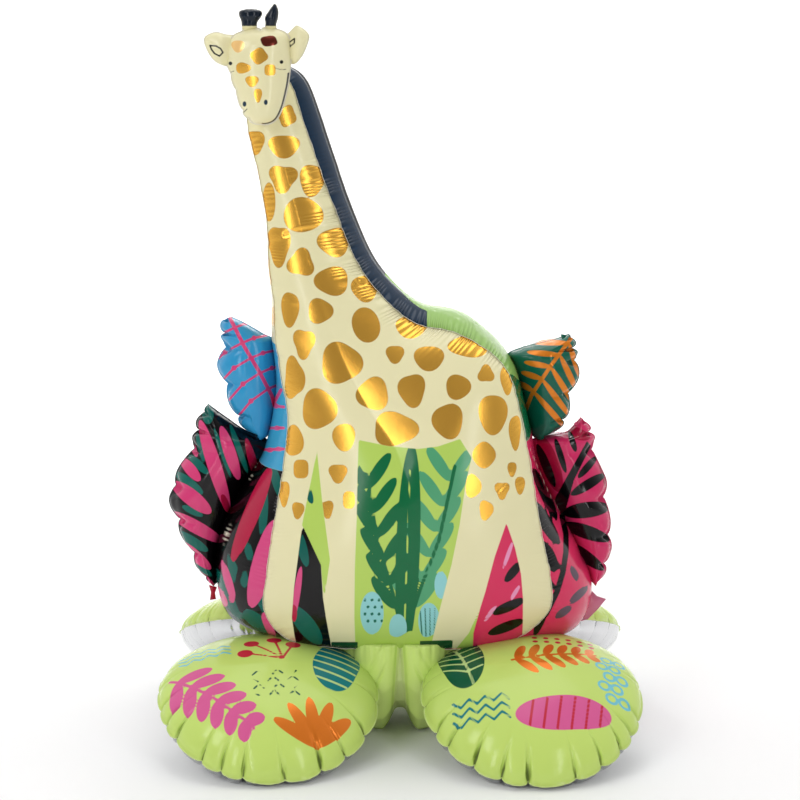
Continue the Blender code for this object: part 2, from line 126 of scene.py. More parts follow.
# Patterns as cut, in centimetres: left edge x, z, right edge x, z, ridge x, z, half depth at the ridge,
# half depth at the weld and, for the body, bulge of the left and of the right side strip
BODY_DRAFT_HEIGHT = 111.0
BODY_DRAFT_HALF_DEPTH = 21.5
NECK_DRAFT_HALF_DEPTH = 7.0
BODY_PATTERN = (
    (-25.0, 111.0, -25.0, 111.0, -24.6, 106.0, 6.4, 3.2, 1.0, 1.0),
    (-28.6, 107.5, -21.4, 109.0, -24.6, 106.0, 6.4, 4.4, 0.6, 2.2),
    (-29.4, 100.8, -19.2, 102.8, -24.2, 101.4, 6.6, 4.6, 0.8, 2.6),
    (-27.6, 93.0, -16.4, 94.6, -22.0, 93.4, 6.9, 4.8, 0.9, 2.5),
    (-26.0, 83.8, -13.0, 85.4, -19.6, 84.4, 7.3, 5.0, 0.9, 2.2),
    (-25.4, 75.0, -8.8, 75.4, -17.2, 74.4, 8.2, 5.4, 0.9, 2.4),
    (-24.4, 67.2, -3.6, 68.4, -14.4, 65.6, 10.2, 6.2, 0.9, 2.8),
    (-24.0, 60.0, 2.6, 63.4, -10.6, 56.0, 13.0, 7.4, 1.2, 3.2),
    (-22.9, 53.0, 10.0, 61.8, -6.0, 47.6, 16.0, 8.8, 1.6, 3.2),
    (-21.6, 45.6, 16.4, 58.6, -1.0, 40.4, 18.6, 10.0, 3.4, 2.2),
    (-22.4, 36.6, 20.8, 54.0, 1.0, 35.0, 20.4, 11.4, 4.6, 1.6),
    (-24.0, 26.8, 23.2, 45.8, 1.4, 30.0, 21.3, 13.0, 8.4, 1.6),
    (-25.6, 16.6, 25.2, 35.6, 1.4, 26.0, 21.5, 14.2, 11.0, 1.8),
    (-26.2, 8.0, 27.2, 23.6, 1.4, 22.4, 21.5, 14.6, 9.8, 4.8),
    (-21.6, 2.2, 29.0, 15.0, 1.4, 20.4, 21.5, 14.6, 2.6, 7.2),
    (-11.0, 0.4, 28.6, 7.4, 1.4, 19.6, 21.5, 14.2, 1.4, 9.6),
    (1.0, 0.0, 20.4, 1.2, 1.4, 19.4, 21.5, 13.8, 0.4, 2.6),
    (8.0, 0.0, 8.0, 0.0, 1.4, 19.4, 21.5, 13.8, 0.4, 0.4),
)
HEAD_DRAFT_HEIGHT = 18.4
HEAD_DRAFT_HALF_THICKNESS = 3.6
FACE_PATTERN = (
    (0.0, 18.4, 0.0, 18.4, 0.0, 14.4, 3.5, 0.25),
    (-4.8, 17.2, 4.6, 17.4, 0.0, 14.0, 3.5, 0.25),
    (-6.8, 13.6, 5.7, 14.4, -0.1, 11.6, 3.6, 0.25),
    (-5.9, 9.0, 5.4, 9.6, -0.2, 9.0, 3.4, 0.25),
    (-4.9, 5.8, 4.8, 6.2, -0.2, 6.4, 3.1, 0.25),
    (-3.9, 2.6, 3.8, 2.8, -0.1, 4.0, 2.9, 0.25),
    (-2.4, 0.7, 2.4, 0.7, 0.0, 3.2, 2.8, 0.25),
    (0.0, 0.0, 0.0, 0.0, 0.0, 3.2, 2.8, 0.25),
)
LEFT_EAR_PATTERN = (
    (-10.6, 16.4, -10.6, 16.4, -9.6, 15.6, 1.0, 0.2),
    (-10.4, 14.4, -8.6, 17.4, -8.6, 15.0, 1.5, 0.2),
    (-8.8, 12.0, -6.6, 17.0, -7.2, 14.4, 1.9, 0.2),
    (-6.4, 11.0, -4.6, 16.6, -5.4, 13.8, 1.9, 0.2),
    (-4.2, 11.8, -3.4, 14.4, -4.2, 13.2, 1.0, 0.2),
    (-3.6, 12.8, -3.6, 12.8, -4.0, 13.0, 0.8, 0.2),
)
RIGHT_EAR_PATTERN = (
    (8.9, 17.1, 8.9, 17.1, 8.0, 16.4, 0.9, 0.2),
    (6.8, 18.6, 8.8, 15.4, 7.4, 15.8, 1.3, 0.2),
    (5.4, 17.6, 7.6, 12.8, 6.4, 14.6, 1.6, 0.2),
    (4.0, 16.0, 5.8, 11.4, 4.8, 13.6, 1.4, 0.2),
    (3.2, 13.0, 3.2, 13.0, 4.0, 13.2, 0.8, 0.2),
)
LEFT_HORN_PATTERN = (
    (-2.0, 21.7, -2.0, 21.7, -2.0, 21.2, 1.3, 0.2),
    (-3.9, 21.3, 0.0, 21.3, -2.0, 21.0, 1.5, 0.2),
    (-4.1, 20.4, 0.2, 20.4, -2.0, 20.4, 1.5, 0.2),
    (-3.7, 19.4, -0.6, 19.2, -2.2, 19.4, 1.2, 0.2),
    (-3.6, 18.0, -0.8, 18.0, -2.2, 18.0, 1.2, 0.2),
    (-3.2, 16.6, -1.2, 16.6, -2.2, 16.6, 0.8, 0.2),
    (-2.2, 16.2, -2.2, 16.2, -2.2, 16.4, 0.7, 0.2),
)
RIGHT_HORN_PATTERN = (
    (2.6, 22.6, 2.6, 22.6, 2.5, 22.0, 0.5, 0.2),
    (1.4, 21.2, 3.3, 21.4, 2.4, 21.2, 1.0, 0.2),
    (0.7, 20.0, 3.2, 19.8, 2.2, 19.9, 1.2, 0.2),
    (0.8, 19.0, 2.9, 18.8, 1.9, 18.9, 1.0, 0.2),
    (0.7, 17.6, 2.9, 17.6, 1.8, 17.6, 1.0, 0.2),
    (1.2, 16.4, 2.4, 16.4, 1.8, 16.6, 0.7, 0.2),
    (1.8, 16.1, 1.8, 16.1, 1.8, 16.3, 0.6, 0.2),
)
# Leaves, in centimetres: height above the foot, inner and outer edge from the body's side line
UPPER_LEFT_LEAF = ((25.2, 8.4, 8.4), (24.4, 6.6, 10.4), (22.0, 2.4, 10.8), (20.4, 0.0, 10.4),
                   (15.4, 0.0, 11.9), (10.2, 0.0, 10.4), (5.4, 0.0, 8.0), (2.4, 0.0, 5.0), (0.0, 1.4, 1.4))
UPPER_RIGHT_LEAF = ((21.8, 12.0, 12.0), (20.8, 9.4, 13.2), (19.0, 2.4, 13.8), (17.6, 0.0, 13.9),
                    (13.4, 0.0, 12.4), (8.4, 0.0, 9.6), (4.6, 0.0, 8.2), (2.2, 0.0, 5.4), (0.0, 1.8, 1.8))
LOWER_LEFT_LEAF = ((37.2, 11.8, 11.8), (34.8, 8.6, 13.8), (32.0, 4.6, 14.8), (29.6, 0.0, 15.2),
                   (24.8, 0.0, 15.4), (18.8, 0.0, 14.0), (13.8, 0.0, 10.4), (8.6, 0.0, 6.8),
                   (4.0, 0.0, 4.4), (1.2, 0.4, 2.6), (0.0, 1.2, 1.2))
LOWER_RIGHT_LEAF = ((34.5, 9.8, 9.8), (33.4, 8.8, 11.2), (31.6, 7.0, 12.4), (29.8, 0.0, 12.8),
                    (22.6, 0.0, 12.8), (16.4, 0.0, 10.6), (10.6, 0.0, 8.4), (6.0, 0.0, 6.0),
                    (2.4, 0.0, 3.4), (0.0, 1.2, 1.2))
UPPER_LEAF_DRAFT_HEIGHT = 25.2
LOWER_LEAF_DRAFT_HEIGHT = 37.2
LEAF_DRAFT_WIDTH = 16.4

# Giraffe spots on the sheet: middle, width and height in pixels, corners, direction of one corner in
# degrees (0 is right, 90 down) and how sharp the corners are
BODY_SPOTS = (
    (255, 142, 19, 24, 3, 90, .08), (287, 116, 18, 21, 4, 20, .08), (284, 146, 31, 23, 3, 90, .07),
    (283, 178, 27, 27, 3, 96, .13), (312, 180, 25, 32, 3, 100, .06), (269, 202, 14, 36, 2, 90, .06),
    (303, 215, 40, 35, 3, 250, .03), (279, 245, 22, 40, 3, 92, .11), (334, 242, 32, 29, 3, 70, .07),
    (301, 263, 26, 27, 3, -80, .12), (332, 281, 34, 29, 3, 182, .06), (365, 288, 27, 27, 3, 80, .06),
    (290, 309, 18, 35, 3, 100, .06), (320, 311, 25, 25, 3, 0, .07), (366, 325, 30, 33, 2, 65, .07),
    (304, 343, 21, 29, 3, 96, .13), (341, 363, 41, 41, 3, 3, .07), (294, 378, 20, 41, 3, 8, .11),
    (395, 354, 18, 18, 3, 90, .08), (411, 327, 31, 22, 3, 96, .05), (429, 358, 30, 25, 3, 90, .05),
    (469, 346, 40, 23, 3, 55, .06), (373, 394, 32, 33, 3, -70, .07), (412, 390, 27, 33, 3, 78, .08),
    (458, 387, 25, 25, 3, -5, .05), (486, 374, 16, 17, 3, -90, .12), (507, 379, 13, 30, 3, 80, .08),
    (319, 409, 35, 40, 3, 5, .06), (344, 437, 23, 28, 3, 200, .04), (294, 441, 19, 31, 3, 20, .05),
    (395, 429, 44, 34, 3, 2, .08), (448, 421, 31, 35, 3, 70, .06), (493, 414, 29, 40, 3, 92, .05),
    (515, 432, 12, 35, 3, 80, .07), (484, 455, 23, 26, 4, 0, .03), (301, 469, 16, 20, 4, 45, .05),
    (338, 473, 18, 19, 3, 90, .10), (284, 493, 11, 26, 3, 90, .09), (298, 510, 12, 17, 3, 100, .09),
    (327, 509, 13, 18, 3, 80, .10), (349, 500, 13, 19, 4, 45, .05), (473, 486, 16, 24, 3, 5, .07),
    (502, 490, 14, 17, 3, 90, .14), (512, 469, 9, 15, 3, 90, .08), (520, 485, 10, 18, 3, 90, .07),
    (486, 510, 14, 20, 3, 110, .09))
STRIP_SPOTS = ((258, 174, 6, 18, 2, 90, .05), (270, 270, 6, 30, 2, 90, .05), (274, 316, 6, 20, 2, 90, .05))
FACE_SPOTS = (
    (238, 46, 13, 12, 3, 90, .07), (259, 56, 17, 16, 4, 10, .06), (243, 68, 15, 11, 3, 0, .06),
    (270, 70, 12, 12, 4, 45, .05), (252, 81, 13, 11, 3, 90, .08), (258, 95, 8, 14, 3, 90, .08))
FACE_RED_SPOT = (269, 41, 17, 11, 4, 30, .05)
# Leaf blades on the sheet: both ends in pixels and the half width
DARK_STRIP_TEAL = (
    (271, 462, 281, 498, 4.5), (265, 486, 262, 538, 4.5), (244, 536, 253, 566, 4), (229, 552, 235, 588, 4),
    (242, 565, 247, 590, 3.5), (256, 588, 267, 614, 4.5), (243, 610, 270, 632, 7), (213, 566, 240, 622, 5))
DARK_STRIP_PINK = (
    (275, 520, 251, 608, 11), (222, 560, 235, 604, 4), (213, 584, 227, 607, 4.5), (262, 612, 275, 640, 4))
DARK_STRIP_RED = ((271, 466, 232, 562, 8),)
LEG_GAP_TEAL = ((297, 528, 307, 567, 5), (291, 606, 321, 644, 9), (306, 484, 312, 504, 3.5))
LEG_GAP_PINK = ((301, 566, 293, 620, 3.4),)
LEG_GAP_BLACK = ((505, 582, 522, 561, 4.5), (492, 614, 525, 599, 5), (488, 634, 524, 620, 5),
                 (486, 652, 520, 641, 4))
LEG_GAP_RED = ((294, 604, 294, 622, 3.0),)
LEG_GAP_STROKES = ((513, 541, 503, 569, 2), (520, 585, 510, 601, 2), (497, 604, 484, 622, 2))
PINK_STRIP_BLACK = (
    (533, 468, 557, 520, 5), (532, 500, 559, 545, 6.5), (541, 541, 556, 572, 7), (546, 575, 553, 590, 3),
    (548, 604, 534, 636, 4))
PINK_STRIP_STRIPE = ((562, 516), (566, 534), (566, 552), (563, 572), (557, 592), (546, 614))
PINK_STRIP_DIM = ((571, 566, 579, 582, 3.5), (569, 604, 588, 586, 4), (555, 618, 572, 606, 4))
# Outlines of the two loose film corners on the sheet
RIGHT_FLAP = ((578, 590), (588, 587), (597, 596), (606, 599), (598, 609), (588, 619), (572, 624))
LEFT_TAB = ((209, 585), (217, 587), (215, 593), (216, 599), (210, 600), (211, 592))
# Printed areas of the body's panels on the sheet
LIME_WEDGE = ((317, 451), (302, 525), (321, 566), (324, 600), (330, 560), (322, 500))
BELLY = ((358.7, 440), (388, 446), (418, 449), (438, 446.5), (460, 439), (471.5, 457.5), (465.5, 485),
         (459.6, 525), (451.7, 564), (444.7, 590), (436, 624), (427, 664), (356, 664), (354.4, 618),
         (354.8, 570), (356.8, 515), (357.7, 467))
LIME_FOOT_GAP = ((480, 608), (469, 633), (455, 650), (450, 664), (473, 664), (476, 634))
DARK_LEG_GAP = ((302.4, 525), (321, 565), (323, 598), (326, 618), (332, 650), (334, 668), (302, 668),
                (294.5, 636), (292, 618), (294, 588), (297.4, 562))
MAGENTA_LEG_GAP = ((506.4, 523), (515, 548), (521, 574), (523, 598), (522.8, 626), (521, 660),
                   (472, 668), (473.4, 633), (480.3, 608), (485.3, 592), (495, 556))
HOOVES = (((331, 642), (357.7, 642), (358, 668), (334, 668)),
          ((420, 641), (453, 640), (450, 668), (419, 668)))
STRIP_SEAMS = (((263, 449), (254, 470), (231, 520), (223, 545)), ((530, 449), (549, 493), (566, 520)))
BLUE_STRIP_VEINS = (((252, 470), (262, 425), (281, 390)), ((258, 404), (284, 407)), ((254, 428), (284, 428)),
                    ((252, 450), (284, 449)))
BLUE_STRIP_DOTS = ((276, 406), (268, 428), (277, 428), (270, 450), (279, 449))
# Where the side strip's colours end, as heights, and where the mane's bands end, as columns
BLACK_STRIP_TOP = 0.5375
BLUE_STRIP_TOP = 0.779
MAGENTA_STRIP_TOP = 0.60
GREEN_STRIP_TOP = 0.715
MANE_FOOT = 0.75
MANE_END_COLUMN = 427.0
MANE_BACK_END_COLUMN = 385.0
# Dents pressed into the panels along lines on the sheet, with their depths in metres
PANEL_FOLDS = (
    (((285, 235), (300, 231), (318, 229), (341, 228)), 0.0026),
    (((317, 267), (335, 261), (356, 257)), 0.0016),
    (((352, 273), (366, 290), (378, 301)), 0.0012), (((281, 493), (292, 505)), 0.0016),
    (((497, 492), (511, 476)), 0.0014))
# The face's eyes, nostrils and mouth creases, and the line inside each ear
EYES = ((230.4, 63.4), (281.5, 62))
NOSTRILS = ((244.5, 104), (265.8, 102.3))
FACE_CREASES = (((226, 71), (230, 72.5), (234, 71)), ((275, 68), (280, 69.5), (286, 69.5)),
                ((237, 112), (243, 113), (247, 109)))
LEFT_EAR_LINE = ((210, 45.5), (211.5, 49.5), (214.5, 53.5), (219.5, 56), (223, 52.5), (220.5, 48.5),
                 (216, 46), (210, 45.5))
RIGHT_EAR_LINE = ((294.5, 38.5), (294.3, 43), (290, 46.5), (289, 42.5), (294.5, 38.5))
HORN_CAP_ROW = 26.0


def srgb(red, green, blue):
    """Linear colour of an sRGB colour given in 0 to 255."""
    shares = np.array([red, green, blue]) / 255.0
    linear = np.where(shares <= 0.04045, shares / 12.92, ((shares + 0.055) / 1.055) ** 2.4)
    return tuple(float(value) for value in linear)


# Pattern curves, as in the CAD

def eased_curve(table, at):
    """Cubic through a table's rows with harmonic-mean slopes, so that it never passes beyond them."""
    step = np.diff(table, axis=0)
    before, after = step[:-1], step[1:]
    same_way = before * after > 0
    total = np.where(same_way, before + after, 1.0)
    slope = np.zeros_like(table)
    slope[1:-1] = np.where(same_way, 2.0 * before * after / total, 0.0)
    slope[0], slope[-1] = step[0], step[-1]
    low = np.clip(np.floor(at).astype(int), 0, len(table) - 2)
    t = (at - low)[:, None]
    rise = table[low + 1] - table[low]
    return (table[low] + t * slope[low]
            + t * t * (3.0 * rise - 2.0 * slope[low] - slope[low + 1])
            + t * t * t * (slope[low] + slope[low + 1] - 2.0 * rise))


def edge_loop(left, right, at):
    """Smooth loop down the left edge and up the right edge: a cubic through each four rows."""
    ring = np.vstack([left, right[-2:0:-1]])
    count = len(ring)
    place = np.concatenate([at, count - at[-2:0:-1]])
    start = np.floor(place).astype(int)
    t = (place - start)[:, None]
    a, b, c, d = (ring[(start + offset) % count] for offset in (-1, 0, 1, 2))
    return b + 0.5 * t * (c - a + t * (2 * a - 5 * b + 4 * c - d + t * (3 * (b - c) + d - a)))


def outward(edge):
    """Unit normals of a loop that runs down its left side and up its right side."""
    along = np.roll(edge, -1, axis=0) - np.roll(edge, 1, axis=0)
    normal = np.stack([along[:, 1], -along[:, 0]], axis=1)
    return normal / np.maximum(np.linalg.norm(normal, axis=1, keepdims=True), 1e-9)


def smooth_step(low, high, values):
    """0 below low, 1 above high and the cubic 3 t^2 - 2 t^3 between."""
    t = np.clip((values - low) / (high - low), 0.0, 1.0)
    return t * t * (3.0 - 2.0 * t)


def pattern_curves(pattern, scale, depth_scale, samples):
    """Edge, ridge line, half depths and bulge (none in eight columns) all round from a pattern."""
    rows = np.array(pattern)
    if rows.shape[1] == 8:
        rows = np.hstack([rows, np.zeros((len(rows), 2))])
    at = np.linspace(0.0, len(rows) - 1.0, samples + 1)
    round_trip = np.concatenate([at, at[-2:0:-1]])
    edge = edge_loop(rows[:, 0:2], rows[:, 2:4], at) * scale
    spine = eased_curve(rows[:, 4:6], round_trip) * scale
    depths = eased_curve(rows[:, 6:8], round_trip) * depth_scale
    bulge = np.concatenate([eased_curve(rows[:, 8:9], at)[:, 0],
                            eased_curve(rows[:, 9:10], at)[-2:0:-1, 0]]) * scale
    return edge, spine, depths[:, 0], depths[:, 1], bulge


# Film surfaces, each a grid of rows from the front ridge over the seam to the back ridge

def bunched(count):
    """Shares from 0 to 1, half of them even and half a quarter sine, so that they bunch at the end."""
    t = np.linspace(0.0, 1.0, count + 1)
    return 0.5 * t + 0.5 * np.sin(0.5 * np.pi * t)


def panel_rows(edge, spine, ridge, weld, count, fullness, side, notch=0.0, grip=8.0):
    """Rows of one panel: half depth weld + (ridge - weld) (1 - s^2)^fullness at share s of the way out.

    The way out is shortened by the notch's share of it times s^grip.
    """
    share = bunched(count)[:, None]
    reach = share * (1.0 - notch * share ** grip)
    flat = spine + (edge - spine) * reach[:, :, None]
    depth = weld + (ridge - weld) * np.maximum(0.0, 1.0 - share ** 2) ** fullness
    return np.stack([flat[:, :, 0], side * depth, flat[:, :, 1]], axis=2)


def grid_normals(grid):
    """Unit normals of a grid: the row direction crossed with the direction round."""
    round_way = np.roll(grid, -1, axis=1) - np.roll(grid, 1, axis=1)
    row_way = np.gradient(grid, axis=0)
    normal = np.cross(row_way, round_way)
    return normal / np.maximum(np.linalg.norm(normal, axis=2, keepdims=True), 1e-12)


def loop_lengths(ring):
    """Running length round a closed loop, and its total."""
    hop = np.linalg.norm(np.roll(ring, -1, axis=0) - ring, axis=1)
    return np.concatenate([[0.0], np.cumsum(hop)[:-1]]), float(hop.sum())


def seam_measures(grid, seams):
    """Running length round the first seam, its total, and each point's film length to the nearest seam."""
    step = np.linalg.norm(np.diff(grid, axis=0), axis=2)
    down = np.vstack([np.zeros(grid.shape[1]), np.cumsum(step, axis=0)])
    dist = np.min([np.abs(down - down[row]) for row in seams], axis=0)
    return (*loop_lengths(grid[seams[0]]), dist)


def notch_shares(along, total, spacing, seed):
    """Share of the way between uneven notches, and the strength there, mixed from both neighbours.

    The gaps are the spacing times 0.55 to 1.45, and the strengths are 0.3 to 1.
    """
    rng = np.random.default_rng(seed)
    count = max(4, int(round(total / spacing)))
    places = np.cumsum(1.0 + 0.9 * (rng.random(count) - 0.5))
    places *= total / places[-1]
    strength = 0.3 + 0.7 * rng.random(count)
    here = np.mod(along, total)
    after = np.searchsorted(places, here) % count
    before = (after - 1) % count
    gap = np.mod(places[after] - places[before], total)
    share = np.clip(np.mod(here - places[before], total) / gap, 0.0, 1.0)
    return share, strength[before] * (1.0 - share) + strength[after] * share


def pucker(share, strength, dist, depth, length, power=0.45):
    """Film pulled in at the notches: -depth (1 - (4 u (1 - u))^power), fading over the length."""
    dip = 1.0 - np.maximum(4.0 * share * (1.0 - share), 0.0) ** power
    return -depth * strength * dip * np.exp(-dist / length)


def groove(share, spacing, width):
    """1 at a notch, falling as a bell of the given width beside it."""
    return np.exp(-(np.minimum(share, 1.0 - share) * spacing / width) ** 2)


def waves(along, total, seed, low, high):
    """Uneven wave round a closed seam: the mean of five sines with whole numbers of turns."""
    rng = np.random.default_rng(seed)
    value = np.zeros_like(along)
    for _ in range(5):
        turns = rng.integers(low, high)
        value = value + np.sin(2.0 * np.pi * (turns * along / total + rng.random()))
    return value / 5.0


def undulation(points, size, seed):
    """Slow uneven swell of the film: the mean of four sines of the position in random directions."""
    rng = np.random.default_rng(seed)
    value = np.zeros(points.shape[:-1])
    for _ in range(4):
        way = rng.normal(size=3)
        way *= 2.0 * np.pi / (size * (0.7 + 0.6 * rng.random()) * np.linalg.norm(way))
        value += np.sin(points @ way + 6.28 * rng.random())
    return 0.25 * value


def fin_rows(seam, direction, length, thickness, crinkle):
    """Four rows of a weld flange: out over its front face, and back over its rear face."""
    tangent = np.roll(seam, -1, axis=0) - np.roll(seam, 1, axis=0)
    across = np.cross(direction, tangent)
    across /= np.maximum(np.linalg.norm(across, axis=1, keepdims=True), 1e-12)
    rows = []
    for share, face in ((0.55, -1.0), (1.0, -1.0), (1.0, 1.0), (0.55, 1.0)):
        lift = (0.5 * thickness * face + crinkle * share)[:, None]
        rows.append(seam + direction * (length * share)[:, None] + across * lift)
    return np.array(rows)


def grid_faces(rows, around):
    """Quads of a grid that closes round on itself."""
    low = np.arange(rows - 1)[:, None] * around
    here = np.arange(around)[None, :]
    after = (here + 1) % around
    corners = (low + here, low + after, low + around + after, low + around + here)
    return np.stack(corners, axis=2).reshape(-1, 4)


def new_piece(name, grid, fields, material, node):
    """A closed object from a grid of rows and its print fields, riding on the root body."""
    return mesh_piece(name, grid.reshape(-1, 3), grid_faces(*grid.shape[:2]),
                      {key: value.reshape(-1) for key, value in fields.items()}, material, node)


def mesh_piece(name, points, faces, fields, material, node):
    """Mesh object from points, faces and point fields, merged at seams and poles, with its normals out."""
    mesh = bpy.data.meshes.new(name)
    mesh.from_pydata(points.tolist(), [], faces.tolist())
    for key, value in fields.items():
        layer = mesh.attributes.new(key, "FLOAT", "POINT")
        layer.data.foreach_set("value", np.ascontiguousarray(value, dtype=np.float32))
    work = bmesh.new()
    work.from_mesh(mesh)
    bmesh.ops.remove_doubles(work, verts=work.verts[:], dist=MERGE_DISTANCE)
    bmesh.ops.recalc_face_normals(work, faces=work.faces[:])
    work.to_mesh(mesh)
    work.free()
    mesh.shade_smooth()
    mesh.materials.append(material)
    piece = bpy.data.objects.new(name, mesh)
    bpy.context.scene.collection.objects.link(piece)
    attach(piece, "root")
    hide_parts(node)
    return piece


# Drawing on the sheet, where every shape is a distance in sheet units, positive inside

def on_sheet(points):
    """Column and row where the camera sees each point, with the back panel drawn as the front."""
    y = EYE_DISTANCE - np.abs(points[..., 1])
    z = points[..., 2] - EYE_HEIGHT
    depth = y * math.cos(PITCH) - z * math.sin(PITCH)
    column = SHEET_MIDDLE + FOCAL_PIXELS * points[..., 0] / depth
    row = SHEET_MIDDLE - FOCAL_PIXELS * (y * math.sin(PITCH) + z * math.cos(PITCH)) / depth
    return np.stack([column, row], axis=-1)


def from_sheet(column, row, y):
    """The point at depth y that the camera sees at a column and row."""
    rise = (SHEET_MIDDLE - row) / FOCAL_PIXELS
    ahead = y + EYE_DISTANCE
    z = ahead * (rise * math.cos(PITCH) - math.sin(PITCH)) / (math.cos(PITCH) + rise * math.sin(PITCH))
    depth = ahead * math.cos(PITCH) - z * math.sin(PITCH)
    return ((column - SHEET_MIDDLE) * depth / FOCAL_PIXELS, y, z + EYE_HEIGHT)


def spot(sheet, column, row, width, height, corners, turn, sharp):
    """Rounded spot: an ellipse times 1 + 1.35 sharp cos(corners (angle - turn))."""
    dx = (sheet[..., 0] - column) / (0.5 * width)
    dy = (sheet[..., 1] - row) / (0.5 * height)
    reach = 1.0 + SPOT_CORNER * sharp * np.cos(corners * (np.arctan2(dy, dx) - math.radians(turn)))
    return (1.0 - np.hypot(dx, dy) / reach) * 0.25 * (width + height)


def segment(sheet, start, end):
    """Distance to a segment, and the share of the way along it."""
    start, end = np.array(start, float), np.array(end, float)
    way = end - start
    share = np.clip(((sheet - start) @ way) / (way @ way), 0.0, 1.0)
    return np.linalg.norm(sheet - start - share[..., None] * way, axis=-1), share


def blade(sheet, start, end, half_width):
    """Leaf blade: half width times the root of 4 t (1 - t), less the distance to its middle line."""
    dist, share = segment(sheet, start, end)
    return half_width * np.sqrt(4.0 * share * (1.0 - share)) - dist


def stroke(sheet, path, half_width):
    """Line of even width through the path's points."""
    return half_width - np.min([segment(sheet, a, b)[0] for a, b in zip(path[:-1], path[1:])], axis=0)


def disc(sheet, column, row, radius):
    """Round dot."""
    return radius - np.hypot(sheet[..., 0] - column, sheet[..., 1] - row)


def polygon(sheet, corners):
    """Distance to a polygon's outline, positive inside by the crossing rule."""
    corners = [np.array(corner, float) for corner in corners]
    inside = np.zeros(sheet.shape[:-1], bool)
    dist = np.full(sheet.shape[:-1], 1e6)
    for a, b in zip(corners, corners[1:] + corners[:1]):
        dist = np.minimum(dist, segment(sheet, a, b)[0])
        between = (a[1] > sheet[..., 1]) != (b[1] > sheet[..., 1])
        rise = b[1] - a[1] if b[1] != a[1] else 1e-9
        inside ^= between & (sheet[..., 0] < a[0] + (sheet[..., 1] - a[1]) * (b[0] - a[0]) / rise)
    return np.where(inside, dist, -dist)


def union(*shapes):
    """The nearest of several shapes."""
    return np.max(shapes, axis=0)


def clipped(shape, *masks):
    """A shape kept inside every mask."""
    return np.min((shape,) + masks, axis=0)


def blades(sheet, rows):
    """Several leaf blades, each given by its two ends and its half width."""
    return union(*[blade(sheet, row[0:2], row[2:4], row[4]) for row in rows])


def veins(sheet, start, end, count, length, half_width, spread, first=0.12, last=0.92):
    """Blades in pairs from a midrib towards its tip, turned from it by the spread in degrees."""
    start, end = np.array(start, float), np.array(end, float)
    way = (end - start) / np.linalg.norm(end - start)
    shapes = []
    for share in np.linspace(first, last, count):
        foot = start + (end - start) * share
        reach = length * (1.0 - 0.55 * share ** 2)
        for side in (-1.0, 1.0):
            turn = math.radians(spread) * side
            aim = np.array([way[0] * math.cos(turn) - way[1] * math.sin(turn),
                            way[0] * math.sin(turn) + way[1] * math.cos(turn)])
            shapes.append(blade(sheet, foot, foot + aim * reach, half_width))
    return union(*shapes)


def fan(sheet, foot, count, length, half_width, low, high):
    """Blades from one point, spread evenly between two directions in degrees."""
    shapes = []
    for turn in np.radians(np.linspace(low, high, count)):
        tip = (foot[0] + length * math.cos(turn), foot[1] + length * math.sin(turn))
        shapes.append(blade(sheet, foot, tip, half_width))
    return union(*shapes)


# Materials

def add_node(tree, kind, inputs, output=0, **settings):
    """One output of a new shader node, whose inputs are values or other nodes' outputs."""
    node = tree.nodes.new("ShaderNode" + kind)
    for key, value in settings.items():
        setattr(node, key, value)
    for key, value in inputs.items():
        if isinstance(value, bpy.types.NodeSocket):
            tree.links.new(value, node.inputs[key])
        else:
            node.inputs[key].default_value = value
    return node.outputs[output]


def ink(key, red, green, blue, roughness=0.18, metal=0.0):
    """A printing ink: the field that places it, its linear colour, its metal share and its roughness."""
    return key, srgb(red, green, blue), metal, roughness


